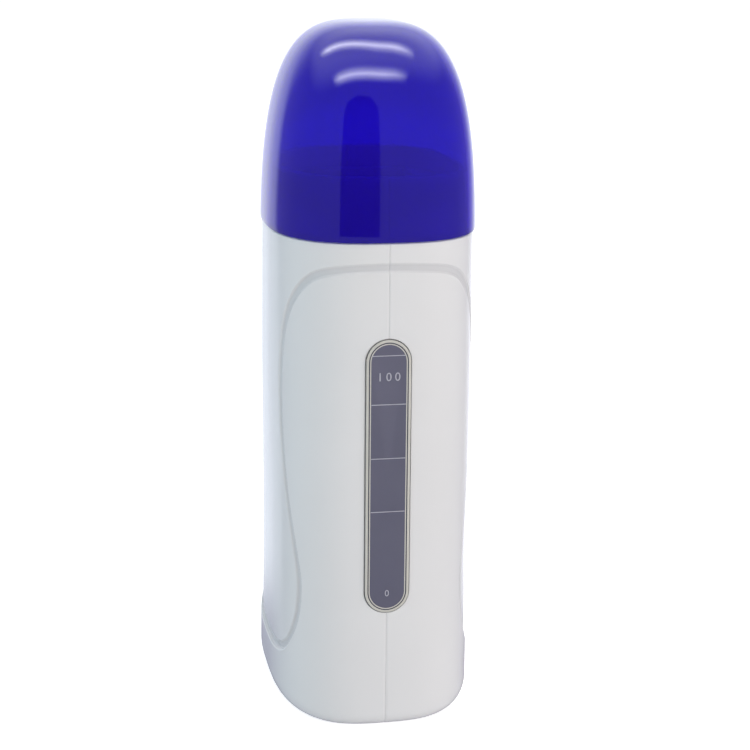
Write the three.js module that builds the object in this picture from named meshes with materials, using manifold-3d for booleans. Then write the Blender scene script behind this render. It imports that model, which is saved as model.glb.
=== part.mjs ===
import * as THREE from "three";
import { mergeVertices } from "three/addons/utils/BufferGeometryUtils.js";
import Module from "manifold-3d";

const wasm = await Module();
wasm.setup();

// A roll-on wax heater. Lengths are in millimetres, +Z is up and the level window faces -Y.
// The origin is the middle of the foot, on the surface that the heater stands on.
// A "turn" runs once round the body from 0 to 4: 0 is the middle of the left broad side,
// 1 the front seam, 2 the middle of the right broad side and 3 the rear seam.

// Body
const bodyHeight = 145.5;
const depthRoom = 6.85;
const footFlare = 4.55;
const squarenessTopShare = 0.248;
const squarenessFootShare = 0.34;
const footFilletSide = 7;
const footFilletFront = 4;
const shellWall = 2.4;
const floorWall = 2.6;
const innerFootFillet = 3;
const seamGap = 0.3;

// Groove line and the grip hollows inside it
const grooveWidth = 2.8;
const grooveDepth = 0.6;
const grooveBevel = 1;
const gripDepth = 0.85;
const gripTopShare = 0.77;
const gripDeepShare = 0.31;

// Neck and cap
const totalHeight = 205;
const neckHeight = 18.5;
const neckWall = 1.8;
const neckChamfer = 0.5;
const ledgeWidth = 1.2;
const ledgeHeight = 12.5;
const capWall = 1.8;
const capProud = 0.6;
const capSlip = 0.35;
const domeReach = 79.5;
const domeSquarenessShare = 0.3976;

// Level window
const windowWidth = 13.3;
const windowLength = 82;
const windowFoot = 36.2;
const windowProud = 0.4;
const windowBevel = 0.8;
const windowWall = 1.7;
const windowLip = 1.6;
const windowLipThickness = 1.2;

// Cartridge chamber
const chamberWidth = 35;
const chamberDepth = 56;
const chamberCorner = 3;
const chamberWall = 1.4;
const chamberFloor = 28.4;
const deckDrop = 6.7;
const deckThickness = 2;
const slotWidth = 9.7;

// Heater plates and what presses on them
const plateFoot = 36;
const plateLength = 84;
const plateDepth = 50;
const plateSheet = 1.2;
const plateRim = 4.2;
const plateCorner = 2;
const ptcMargin = 6.6;
const ptcDepth = 21;
const ptcThickness = 3.6;
const ptcCorner = 1.2;
const micaOverlap = 3;
const micaThickness = 0.5;
const springHeight = 14;
const springThickness = 0.5;
const springSpan = 40;
const springBow = 3.35;
const springFlat = 16;
const fuseDiameter = 4;
const fuseLength = 11.5;
const fuseLeadLength = 5;
const fuseLeadDiameter = 1.2;
const fuseRoom = 3;
const fuseRise = 12.3;

// Mains inlet, a two-pin socket without earth
const inletHeight = 20;
const inletWidth = 18;
const inletThickness = 10.4;
const inletDepth = 16;
const inletSunk = 0.3;
const inletLip = 1.8;
const inletLipThickness = 1.6;
const socketLobe = 7.6;
const socketWaistShare = 0.8;
const socketDepth = 12;
const pinSpacing = 8.6;
const pinDiameter = 2.4;
const pinRecess = 2;
const tagLength = 6;
const tagHeight = 4.6;
const tagThickness = 0.8;

// Pilot lamp
const lensHeight = 46;
const lensDiameter = 6;
const lensDome = 1.4;
const lensLip = 1.2;
const lensLipThickness = 1.2;
const neonDiameter = 4;
const neonLength = 11;
const neonLegSpacing = 2.4;
const legDiameter = 0.7;
const legLength = 1.5;
const resistorDiameter = 2.4;
const resistorLength = 6.5;

// Wires
const wireDiameter = 1.5;
const leadDiameter = 0.9;

// Screws and snap hooks that hold the halves together
const screwDiameter = 2.6;
const screwLength = 17;
const headDiameter = 5;
const headHeight = 1.9;
const screwHeight = 11;
const screwSideways = 13;
const screwSeat = 8;
const bossWall = 1.9;
const hookThickness = 1.4;
const hookHeight = 8;
const hookReach = 5.5;
const hookRoot = 8;
const hookBarb = 1;
const hookFoot = 128;
const ribThickness = 1.6;
const lowRib = 60;
const highRib = 106;

// Clearances: restGap between pieces that rest on each other, overrun for every cut
const restGap = 0.3;
const screwGap = 0.2;
const overrun = 1;

// Facets
const quarterSteps = 12;
const innerQuarterSteps = 8;
const roundSteps = 12;
const cornerSteps = 3;
const windowCornerSteps = 6;
const gripColumns = 8;
const springSteps = 10;
const wireSides = 6;
const wireStepsPerPoint = 2;

// Heights of the rings that the shells and the cap are drawn through, as shares
const footLevelShares = [0, 0.05, 0.2, 0.5, 1];
const wallLevelShares = [0.33, 0.67];
const domeLevelShares = [0, 0.2, 0.38, 0.54, 0.67, 0.775, 0.855, 0.915, 0.957, 0.985, 0.997];
const lensLevelShares = [0, 0.35, 0.65, 0.88];
const sameSpotShare = 0.01;

const neckTop = bodyHeight + neckHeight;
const deckTop = neckTop - deckDrop;
const deckFoot = deckTop - deckThickness;
const ledgeTop = deckFoot - restGap;
const ledgeFoot = ledgeTop - ledgeHeight;
const frameHalfWidth = chamberWidth / 2 + chamberWall;
const frameHalfDepth = chamberDepth / 2 + chamberWall;

// From the chamber outwards: plate, heater, mica and bowed spring lie against the shell's wall
const padFace = -chamberWidth / 2 - restGap / 3;
const ptcFace = padFace - plateSheet - restGap;
const ptcBack = ptcFace - ptcThickness;
const micaBack = ptcBack - restGap - micaThickness;
const springFace = micaBack - restGap;
const wallInside = springFace - springThickness - springBow - restGap;
const bodyWidth = 2 * (shellWall - wallInside);
const bodyDepthTop = 2 * (frameHalfDepth + depthRoom);
const plateMiddle = plateFoot + plateLength / 2;
const ptcLength = plateLength - 2 * (plateRim + plateSheet + ptcMargin);
const ptcFoot = plateMiddle - ptcLength / 2 - restGap;
const micaLength = ptcLength + 2 * micaOverlap;
const micaDepth = ptcDepth + 2 * micaOverlap;
const fuseSideways = ptcDepth / 2 + fuseRoom + fuseDiameter / 2;
const fuseFoot = ptcFoot + fuseRise;
const bodyDepthFoot = bodyDepthTop + 2 * footFlare;

// Materials
const whiteAbs = { color: 0xe4e6ea, roughness: 0.34, metalness: 0 };
const blueClear = { color: 0x2a1ab8, roughness: 0.06, metalness: 0 };
const clearPlastic = { color: 0xc9cdd6, roughness: 0.08, metalness: 0 };
const paleHeatPlastic = { color: 0xdcdde0, roughness: 0.5, metalness: 0 };
const aluminium = { color: 0xc4c6c9, roughness: 0.35, metalness: 1 };
const ptcCase = { color: 0xb4b6b8, roughness: 0.45, metalness: 1 };
const mica = { color: 0xb08a52, roughness: 0.5, metalness: 0 };
const springSteel = { color: 0x8c9096, roughness: 0.3, metalness: 1 };
const blackPlastic = { color: 0x1b1b1d, roughness: 0.45, metalness: 0 };
const brass = { color: 0xcfa44a, roughness: 0.28, metalness: 1 };
const redClear = { color: 0xc21a1a, roughness: 0.12, metalness: 0 };
const glass = { color: 0xdfe6ea, roughness: 0.05, metalness: 0 };
const resistorCoat = { color: 0xcdb48a, roughness: 0.5, metalness: 0 };
const liveSleeve = { color: 0x7a4a2c, roughness: 0.55, metalness: 0 };
const neutralSleeve = { color: 0x2f5fa8, roughness: 0.55, metalness: 0 };
const zincSteel = { color: 0xa9adb2, roughness: 0.3, metalness: 1 };

// Solids from geometries and back
function solidOf(geometry) {
  const bare = geometry.clone();
  bare.deleteAttribute("normal");
  bare.deleteAttribute("uv");
  const merged = mergeVertices(bare);
  return new wasm.Manifold(
    new wasm.Mesh({
      numProp: 3,
      vertProperties: new Float32Array(merged.attributes.position.array),
      triVerts: new Uint32Array(merged.index.array),
    }),
  );
}

function join(...solids) {
  return solids.reduce((whole, next) => whole.add(next));
}

function cut(solid, ...tools) {
  return tools.reduce((rest, tool) => rest.subtract(tool), solid);
}

function meshOf(name, shape, look) {
  let geometry = shape;
  if (!shape.isBufferGeometry) {
    const made = shape.getMesh();
    geometry = new THREE.BufferGeometry();
    geometry.setAttribute("position", new THREE.BufferAttribute(made.vertProperties, made.numProp));
    geometry.setIndex(new THREE.BufferAttribute(made.triVerts, 1));
    geometry.computeVertexNormals();
  }
  const mesh = new THREE.Mesh(geometry, new THREE.MeshStandardMaterial(look));
  mesh.name = name;
  return mesh;
}

// Basic shapes
function block(low, high) {
  const size = high.map((value, axis) => value - low[axis]);
  const middle = high.map((value, axis) => (value + low[axis]) / 2);
  return new THREE.BoxGeometry(...size).translate(...middle);
}

function roundedShape(width, height, radius) {
  const x = width / 2 - radius;
  const y = height / 2 - radius;
  const shape = new THREE.Shape();
  shape.absarc(x, -y, radius, -Math.PI / 2, 0);
  shape.absarc(x, y, radius, 0, Math.PI / 2);
  shape.absarc(-x, y, radius, Math.PI / 2, Math.PI);
  shape.absarc(-x, -y, radius, Math.PI, Math.PI * 1.5);
  return shape;
}

// A flat shape drawn in (x, y) and carried along +Z from one height to another.
function prism(shape, from, to, curveSegments = cornerSteps) {
  const options = { depth: to - from, bevelEnabled: false, curveSegments };
  return new THREE.ExtrudeGeometry(shape, options).translate(0, 0, from);
}

// Turns what is drawn in (x, y) with its depth along z so that the depth lies along X:
// the drawing's x becomes Y and its y becomes Z.
function alongX(geometry) {
  const turn = new THREE.Matrix4().makeBasis(
    new THREE.Vector3(0, 1, 0),
    new THREE.Vector3(0, 0, 1),
    new THREE.Vector3(1, 0, 0),
  );
  return geometry.applyMatrix4(turn);
}

function rodX(diameter, from, to, y, z) {
  const rod = new THREE.CylinderGeometry(diameter / 2, diameter / 2, to - from, roundSteps);
  return rod.rotateZ(Math.PI / 2).translate((from + to) / 2, y, z);
}

function rodZ(diameter, from, to, x, y) {
  const rod = new THREE.CylinderGeometry(diameter / 2, diameter / 2, to - from, roundSteps);
  return rod.rotateX(Math.PI / 2).translate(x, y, (from + to) / 2);
}

// Rings of equal count, each counterclockwise seen from above, joined upwards and closed.
function loft(rings) {
  const count = rings[0].length;
  const points = rings.flat();
  const faces = [];
  for (let level = 0; level + 1 < rings.length; level++) {
    for (let i = 0; i < count; i++) {
      const a = level * count + i;
      const b = level * count + ((i + 1) % count);
      faces.push(a, b, b + count, a, b + count, a + count);
    }
  }
  for (const [level, below] of [[0, true], [rings.length - 1, false]]) {
    const middle = new THREE.Vector3();
    rings[level].forEach((point) => middle.add(point));
    points.push(middle.divideScalar(count));
    for (let i = 0; i < count; i++) {
      const a = level * count + i;
      const b = level * count + ((i + 1) % count);
      faces.push(points.length - 1, below ? b : a, below ? a : b);
    }
  }
  const geometry = new THREE.BufferGeometry().setFromPoints(points);
  return geometry.setIndex(faces);
}

// A slab over a grid: pointAt(row, column, outer) places its two faces, and walls close it.
// Seen from outside, columns run to the right and rows run up.
function gridSlab(rows, columns, pointAt) {
  const points = [];
  const id = (row, column, outer) => (outer * (rows + 1) + row) * (columns + 1) + column;
  for (const outer of [0, 1]) {
    for (let row = 0; row <= rows; row++) {
      for (let column = 0; column <= columns; column++) points.push(pointAt(row, column, outer));
    }
  }
  const faces = [];
  const quad = (a, b, c, d) => faces.push(a, b, c, a, c, d);
  for (let row = 0; row < rows; row++) {
    for (let column = 0; column < columns; column++) {
      const corners = (outer) => [
        id(row, column, outer),
        id(row, column + 1, outer),
        id(row + 1, column + 1, outer),
        id(row + 1, column, outer),
      ];
      quad(...corners(1));
      quad(...corners(0).reverse());
    }
  }
  for (let column = 0; column < columns; column++) {
    const [p, q] = [column, column + 1];
    quad(id(0, p, 0), id(0, q, 0), id(0, q, 1), id(0, p, 1));
    quad(id(rows, q, 0), id(rows, p, 0), id(rows, p, 1), id(rows, q, 1));
  }
  for (let row = 0; row < rows; row++) {
    const [p, q] = [row, row + 1];
    quad(id(q, 0, 0), id(p, 0, 0), id(p, 0, 1), id(q, 0, 1));
    quad(id(p, columns, 0), id(q, columns, 0), id(q, columns, 1), id(p, columns, 1));
  }
  return new THREE.BufferGeometry().setFromPoints(points).setIndex(faces);
}

// Plan of the body: a superellipse whose half axes and squareness change with height
function superPower(squareShare) {
  return 2 / (1 - squareShare);
}

function filletInset(radius, z) {
  return z < radius ? radius - Math.sqrt(radius ** 2 - (radius - z) ** 2) : 0;
}

function bodySection(height) {
  const z = Math.min(height, bodyHeight);
  const downShare = 1 - z / bodyHeight;
  const { lerp } = THREE.MathUtils;
  return {
    halfWidth: bodyWidth / 2 - filletInset(footFilletSide, z),
    halfDepth: lerp(bodyDepthTop, bodyDepthFoot, downShare) / 2 - filletInset(footFilletFront, z),
    power: superPower(lerp(squarenessTopShare, squarenessFootShare, downShare)),
  };
}

function quarterPoint({ halfWidth, halfDepth, power }, angle) {
  const x = halfWidth * Math.max(Math.cos(angle), 0) ** (2 / power);
  const y = halfDepth * Math.max(Math.sin(angle), 0) ** (2 / power);
  return new THREE.Vector2(x, y);
}

// Angles that step evenly along a quarter of the plan, from the side's middle to the seam
const tableSteps = 400;
const quarterTable = [{ length: 0, angle: 0 }];
for (let i = 1; i <= tableSteps; i++) {
  const middle = bodySection(bodyHeight / 2);
  const angle = ((i / tableSteps) * Math.PI) / 2;
  const before = quarterTable[i - 1];
  const step = quarterPoint(middle, angle).distanceTo(quarterPoint(middle, before.angle));
  quarterTable.push({ length: before.length + step, angle });
}
const quarterLength = quarterTable[tableSteps].length;

function angleAt(share) {
  const length = THREE.MathUtils.clamp(share, 0, 1) * quarterLength;
  const next = Math.max(quarterTable.findIndex((row) => row.length >= length), 1);
  const [low, high] = [quarterTable[next - 1], quarterTable[next]];
  const part = (length - low.length) / (high.length - low.length);
  return THREE.MathUtils.lerp(low.angle, high.angle, part);
}

// A point of the plan at a turn, drawn in along the plan's normal by the inset.
function planPoint(turn, section, inset, z) {
  const wrapped = ((turn % 4) + 4) % 4;
  const quarter = Math.floor(wrapped);
  const part = wrapped - quarter;
  const point = quarterPoint(section, angleAt(quarter % 2 ? 1 - part : part));
  const normal = new THREE.Vector2(
    (point.x / section.halfWidth) ** (section.power - 1) / section.halfWidth,
    (point.y / section.halfDepth) ** (section.power - 1) / section.halfDepth,
  ).normalize();
  point.addScaledVector(normal, -inset);
  const signX = quarter === 0 || quarter === 3 ? -1 : 1;
  const signY = quarter < 2 ? -1 : 1;
  return new THREE.Vector3(signX * point.x, signY * point.y, z);
}

function bodyPoint(turn, z, inset) {
  return planPoint(turn, bodySection(z), inset, z);
}

function bodyRing(z, inset, steps = quarterSteps) {
  const turns = Array.from({ length: 4 * steps }, (_, i) => i / steps);
  return turns.map((turn) => bodyPoint(turn, z, inset));
}

// Dome: the plan at the body's top, carried up and drawn in towards the cap's peak
function domeScale(z, top, reach) {
  const rise = THREE.MathUtils.clamp((z - (top - reach)) / reach, 0, 1);
  const power = superPower(domeSquarenessShare);
  return (1 - rise ** power) ** (1 / power);
}

function capRing(z, inset, top, reach, steps) {
  const scale = Math.min(domeScale(z, top, reach) / domeScale(bodyHeight, top, reach), 1);
  return bodyRing(bodyHeight, inset, steps).map(({ x, y }) => new THREE.Vector3(x * scale, y * scale, z));
}

// The neck follows the inside of the cap at a sliding clearance; depth is into its wall.
const capInsideTop = totalHeight - capWall;
const capInsideReach = domeReach - capWall;

function neckRing(z, depth, steps = innerQuarterSteps) {
  const inset = capWall - capProud + capSlip + depth;
  return capRing(z, inset, capInsideTop, capInsideReach, steps);
}

// Groove line: pairs of turn share and height share over one quarter of the body, from the
// bottom of the grip hollow up its edge, over the shoulder and along the arch to the seam.
const grooveLineShares = [
  [0, 0.122],
  [0.19, 0.124],
  [0.33, 0.134],
  [0.415, 0.16],
  [0.478, 0.2],
  [0.512, 0.245],
  [0.52, 0.295],
  [0.5, 0.34],
  [0.462, 0.398],
  [0.42, 0.46],
  [0.38, 0.54],
  [0.352, 0.62],
  [0.345, 0.7],
  [0.358, 0.76],
  [0.39, 0.82],
  [0.445, 0.866],
  [0.52, 0.904],
  [0.61, 0.933],
  [0.75, 0.948],
  [1, 0.953],
];

function grooveQuarter() {
  return grooveLineShares.map(([turn, height]) => ({ turn, z: height * bodyHeight }));
}

// The line goes round the whole body: down and up both grip hollows, over both arches.
function grooveLoop() {
  const up = grooveQuarter();
  const down = [...up].reverse();
  return [
    ...up,
    ...down.slice(1).map(({ turn, z }) => ({ turn: 2 - turn, z })),
    ...up.slice(1).map(({ turn, z }) => ({ turn: 2 + turn, z })),
    ...down.slice(1, -1).map(({ turn, z }) => ({ turn: 4 - turn, z })),
  ];
}

// How far the grip hollow lies below the body's surface at a height.
function gripSink(z) {
  const share = z / bodyHeight;
  return gripDepth * (1 - THREE.MathUtils.smoothstep(share, gripDeepShare, gripTopShare));
}

// A groove with sloping sides, swept along the line and lying on the curved surface.
function grooveCutter() {
  const stations = grooveLoop();
  const points = [];
  stations.forEach(({ turn, z }, i) => {
    const next = stations[(i + 1) % stations.length];
    const last = stations[(i + stations.length - 1) % stations.length];
    const round = ((next.turn - last.turn + 6) % 4) - 2;
    const along = new THREE.Vector2(round * quarterLength, next.z - last.z).normalize();
    const depth = grooveDepth + gripSink(z);
    const slope = grooveBevel / grooveDepth;
    const half = grooveWidth / 2;
    const profile = [
      [-half - overrun * slope, -overrun],
      [-half + grooveBevel, depth],
      [half - grooveBevel, depth],
      [half + overrun * slope, -overrun],
    ];
    for (const [across, inset] of profile) {
      const turnAcross = turn - (across * along.y) / quarterLength;
      points.push(bodyPoint(turnAcross, z + across * along.x, inset));
    }
  });
  const faces = [];
  const sides = 4;
  for (let i = 0; i < stations.length; i++) {
    const start = i * sides;
    const end = ((i + 1) % stations.length) * sides;
    for (let side = 0; side < sides; side++) {
      const next = (side + 1) % sides;
      faces.push(start + side, end + next, end + side, start + side, start + next, end + next);
    }
  }
  return new THREE.BufferGeometry().setFromPoints(points).setIndex(faces);
}

// The hollow that the fingers lie in, bounded by the groove line, fading out at its top.
function gripCutter(middleTurn) {
  const top = gripTopShare * bodyHeight;
  const rows = grooveQuarter().filter(({ turn, z }) => turn > 0 && z < top);
  rows.push({ turn: rows[rows.length - 1].turn, z: top });
  const pointAt = (row, column, outer) => {
    const { turn, z } = rows[row];
    const across = middleTurn + turn * ((2 * column) / gripColumns - 1);
    const fade = z < top ? gripSink(z) : -restGap;
    return bodyPoint(across, z, outer ? -overrun : fade);
  };
  return gridSlab(rows.length - 1, gripColumns, pointAt);
}

// A place on the narrow front face: x across, y up the slightly leaning face, z outwards.
const faceLean = Math.atan2(footFlare, bodyHeight);

function onFront(geometry, height) {
  const place = new THREE.Matrix4().makeBasis(
    new THREE.Vector3(1, 0, 0),
    new THREE.Vector3(0, Math.sin(faceLean), Math.cos(faceLean)),
    new THREE.Vector3(0, -Math.cos(faceLean), Math.sin(faceLean)),
  );
  place.setPosition(0, -bodySection(height).halfDepth, height);
  return geometry.applyMatrix4(place);
}

function onRear(geometry, height) {
  return onFront(geometry, height).rotateZ(Math.PI);
}

// Rings of one rounded outline at several depths: each level is [depth, growth].
function outlineLoft(width, height, radius, levels, steps = cornerSteps) {
  const rings = levels.map(([depth, growth]) => {
    const shape = roundedShape(width + 2 * growth, height + 2 * growth, radius + growth);
    const points = shape.extractPoints(steps).shape;
    const before = (i) => points[(i + points.length - 1) % points.length];
    const open = points.filter((point, i) => point.distanceTo(before(i)) > restGap * sameSpotShare);
    return open.map(({ x, y }) => new THREE.Vector3(x, y, depth));
  });
  return loft(rings);
}

const windowMiddle = windowFoot + windowLength / 2;

function windowOutline(levels) {
  const outline = outlineLoft(windowWidth, windowLength, windowWidth / 2, levels, windowCornerSteps);
  return onFront(outline, windowMiddle);
}

const seatDepth = shellWall - restGap;

function levelWindow() {
  const lipFront = -seatDepth - restGap;
  const lipBack = lipFront - windowLipThickness;
  const pillow = windowOutline([
    [lipBack, windowLip],
    [lipFront, windowLip],
    [lipFront, 0],
    [windowProud - windowBevel / 2, 0],
    [windowProud, -windowBevel],
  ]);
  const hollow = windowOutline([
    [lipBack - overrun, -windowWall],
    [windowProud - windowWall, -windowWall],
  ]);
  return cut(solidOf(pillow), solidOf(hollow));
}

function windowCutters() {
  const through = windowOutline([[-shellWall - overrun, restGap], [overrun, restGap]]);
  const grown = windowLip + restGap;
  const seat = windowOutline([[-shellWall - 2 * overrun, grown], [-seatDepth, grown]]);
  return [solidOf(through), solidOf(seat)];
}

// Half shells
function shellBlank() {
  const fillet = Math.max(footFilletSide, footFilletFront);
  const footRings = footLevelShares.map((share) => bodyRing(share * fillet, 0));
  const wallRings = wallLevelShares.map((share) => bodyRing(share * bodyHeight, 0));
  const outside = loft([
    ...footRings,
    ...wallRings,
    bodyRing(bodyHeight, 0),
    neckRing(bodyHeight, 0, quarterSteps),
    neckRing((bodyHeight + neckTop) / 2, 0, quarterSteps),
    neckRing(neckTop - neckChamfer, 0, quarterSteps),
    neckRing(neckTop, neckChamfer, quarterSteps),
  ]);
  const inner = (z, inset) => bodyRing(z, inset, innerQuarterSteps);
  const inside = loft([
    inner(floorWall, shellWall + innerFootFillet),
    inner(floorWall + innerFootFillet, shellWall),
    inner(bodyHeight / 2, shellWall),
    inner(ledgeFoot - shellWall, shellWall),
    neckRing(ledgeFoot, neckWall + ledgeWidth),
    neckRing(ledgeTop, neckWall + ledgeWidth),
    neckRing(ledgeTop, neckWall),
    neckRing(neckTop + overrun, neckWall),
  ]);
  return cut(solidOf(outside), solidOf(inside), frameClearance());
}

// Room for the chamber frame, up to its deck
function frameClearance() {
  const width = 2 * (frameHalfWidth + restGap);
  const depth = 2 * (frameHalfDepth + restGap);
  const corner = chamberCorner + chamberWall + restGap;
  return solidOf(prism(roundedShape(width, depth, corner), chamberFloor - chamberWall, deckFoot));
}

// Four rib corners at each height hold the chamber frame in the middle of the shells.
function shellRibs() {
  const reach = bodyWidth;
  const bay = plateDepth / 2 + overrun;
  const lampClear = windowWidth / 2 + windowLip + overrun;
  const ring = (z) => bodyRing(z, shellWall / 2, innerQuarterSteps);
  const ribs = [lowRib, highRib].map((z) => solidOf(loft([ring(z), ring(z + ribThickness)])));
  return cut(
    join(...ribs),
    solidOf(block([-reach, -bay, 0], [reach, bay, bodyHeight])),
    frameClearance(),
    solidOf(block([-lampClear, -reach, 0], [lampClear, 0, bodyHeight])),
  );
}

const screwPlaces = [-screwSideways, screwSideways];
const hookInnerY = frameHalfDepth + 2 * restGap + overrun;
const hookFarY = hookInnerY + hookThickness;
const hookWallY = bodySection(hookFoot).halfDepth - shellWall / 2;
const barbFromX = hookReach - hookBarb;

// A block between two distances from the mid-plane, in front (side -1) or behind (side 1)
function hookBlock(side, xFrom, xTo, nearY, farY) {
  const [low, high] = side > 0 ? [nearY, farY] : [-farY, -nearY];
  return solidOf(block([xFrom, low, hookFoot], [xTo, high, hookFoot + hookHeight]));
}

// A springy arm that reaches across the seam, with a barb at its tip
function snapHook(side) {
  return join(
    hookBlock(side, -hookRoot, hookReach, hookInnerY, hookFarY),
    hookBlock(side, barbFromX, hookReach, hookInnerY, hookFarY + hookBarb),
    hookBlock(side, -hookRoot, -hookRoot + hookThickness, hookInnerY, hookWallY),
  );
}

// The rib that the barb catches behind
function snapCatch(side) {
  const to = barbFromX - restGap;
  return hookBlock(side, to - ribThickness, to, hookFarY + restGap, hookWallY);
}

function leftShell() {
  const reach = bodyWidth;
  const half = solidOf(block([-reach, -reach, -overrun], [-seamGap / 2, reach, totalHeight]));
  const bossDiameter = screwDiameter + 2 * bossWall;
  const bossFrom = shellWall - bodyWidth / 2;
  const bosses = screwPlaces.map((y) => solidOf(rodX(bossDiameter, bossFrom, 0, y, screwHeight)));
  const pilot = screwSeat - screwLength - overrun;
  const holes = screwPlaces.map((y) =>
    solidOf(rodX(screwDiameter + 2 * screwGap, pilot, overrun, y, screwHeight)),
  );
  const whole = join(shellBlank(), shellRibs(), ...bosses);
  const shell = cut(whole, ...outsideCutters(), ...holes).intersect(half);
  return join(shell, snapHook(-1), snapHook(1));
}

function rightShell() {
  const reach = bodyWidth;
  const half = solidOf(block([seamGap / 2, -reach, -overrun], [reach, reach, totalHeight]));
  const bore = headDiameter + 2 * restGap;
  const bossDiameter = bore + 2 * bossWall - 2 * restGap;
  const bossTo = bodyWidth / 2 - shellWall;
  const bosses = screwPlaces.map((y) => solidOf(rodX(bossDiameter, 0, bossTo, y, screwHeight)));
  const holes = screwPlaces.flatMap((y) => [
    solidOf(rodX(screwDiameter + 2 * screwGap, -overrun, bodyWidth / 2, y, screwHeight)),
    solidOf(rodX(bore, screwSeat, bodyWidth / 2 + overrun, y, screwHeight)),
  ]);
  const whole = join(shellBlank(), shellRibs(), snapCatch(-1), snapCatch(1), ...bosses);
  return cut(whole, ...outsideCutters(), ...holes).intersect(half);
}

function outsideCutters() {
  return [
    solidOf(grooveCutter()),
    solidOf(gripCutter(0)),
    solidOf(gripCutter(2)),
    ...windowCutters(),
    ...inletCutters(),
    ...lensCutters(),
  ];
}

// Mains inlet
function inletOutline(levels) {
  const radius = inletThickness / 2;
  return onRear(outlineLoft(inletWidth, inletThickness, radius, levels), inletHeight);
}

function inletCutters() {
  const through = inletOutline([[-shellWall - overrun, restGap], [overrun, restGap]]);
  const grown = inletLip + restGap;
  const seat = inletOutline([[-shellWall - 2 * overrun, grown], [-seatDepth, grown]]);
  return [solidOf(through), solidOf(seat)];
}

function inletHousing() {
  const lipFront = -seatDepth - restGap;
  const body = inletOutline([
    [-inletDepth, 0],
    [lipFront - inletLipThickness, 0],
    [lipFront - inletLipThickness, inletLip],
    [lipFront, inletLip],
    [lipFront, 0],
    [-inletSunk, 0],
  ]);
  const roundHole = (side, diameter, from, to) => {
    const levels = [[from, 0], [to, 0]];
    const hole = outlineLoft(diameter, diameter, diameter / 2, levels);
    return solidOf(onRear(hole.translate((side * pinSpacing) / 2, 0, 0), inletHeight));
  };
  const lobes = [-1, 1].map((side) => roundHole(side, socketLobe, -socketDepth, overrun));
  const pinBore = pinDiameter + 2 * restGap;
  const pinHoles = [-1, 1].map((side) => roundHole(side, pinBore, -inletDepth - overrun, 0));
  const halfWaist = (socketLobe * socketWaistShare) / 2;
  const waist = block([-pinSpacing / 2, -halfWaist, -socketDepth], [pinSpacing / 2, halfWaist, overrun]);
  return cut(solidOf(body), ...lobes, solidOf(onRear(waist, inletHeight)), ...pinHoles);
}

// A pin with its solder tag behind the housing; side is -1 for live and 1 for neutral.
function inletPin(side) {
  const round = outlineLoft(pinDiameter, pinDiameter, pinDiameter / 2, [
    [-inletDepth - restGap, 0],
    [-pinRecess - pinDiameter / 4, 0],
    [-pinRecess, -pinDiameter / 4],
  ]);
  const tagTo = -inletDepth - restGap / 2;
  const tag = block(
    [-tagThickness / 2, -tagHeight / 2, tagTo - tagLength],
    [tagThickness / 2, tagHeight / 2, tagTo],
  );
  const shift = (geometry) => onRear(geometry.translate((-side * pinSpacing) / 2, 0, 0), inletHeight);
  return join(solidOf(shift(round)), solidOf(shift(tag)));
}

// Pilot lamp
function lensLoft(levels) {
  return onRear(outlineLoft(lensDiameter, lensDiameter, lensDiameter / 2, levels), lensHeight);
}

function lensCutters() {
  const through = lensLoft([[-shellWall - overrun, restGap], [overrun, restGap]]);
  const grown = lensLip + restGap;
  const seat = lensLoft([[-shellWall - 2 * overrun, grown], [-seatDepth, grown]]);
  return [solidOf(through), solidOf(seat)];
}

function pilotLens() {
  const lipFront = -seatDepth - restGap;
  const dome = lensLevelShares.map((share) => [
    lensDome * share,
    (Math.sqrt(1 - share ** 2) - 1) * (lensDiameter / 2),
  ]);
  return lensLoft([
    [lipFront - lensLipThickness, lensLip],
    [lipFront, lensLip],
    [lipFront, 0],
    ...dome,
  ]);
}

const lensBack = shellWall + lensLipThickness + 2 * restGap;
const lampY = bodySection(lensHeight).halfDepth - lensBack - neonDiameter / 2;
const lampFoot = lensHeight - neonLength / 2;
const resistorTop = lampFoot - 2 * legLength - restGap;

function neonLamp() {
  const radius = neonDiameter / 2;
  const profile = [
    new THREE.Vector2(0, lampFoot),
    new THREE.Vector2(radius, lampFoot),
    new THREE.Vector2(radius, lampFoot + neonLength - radius),
    new THREE.Vector2(radius * Math.SQRT1_2, lampFoot + neonLength - radius * (1 - Math.SQRT1_2)),
    new THREE.Vector2(0, lampFoot + neonLength),
  ];
  const bulb = new THREE.LatheGeometry(profile, roundSteps).rotateX(Math.PI / 2).translate(0, lampY, 0);
  const legs = [-1, 1].map((side) => {
    const x = (side * neonLegSpacing) / 2;
    return solidOf(rodZ(legDiameter, lampFoot - legLength, lampFoot + radius, x, lampY));
  });
  return join(solidOf(bulb), ...legs);
}

function lampResistor() {
  const x = -neonLegSpacing / 2;
  const foot = resistorTop - resistorLength;
  const body = rodZ(resistorDiameter, foot, resistorTop, x, lampY);
  const leads = rodZ(legDiameter, foot - legLength, resistorTop + legLength, x, lampY);
  return join(solidOf(body), solidOf(leads));
}

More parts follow.
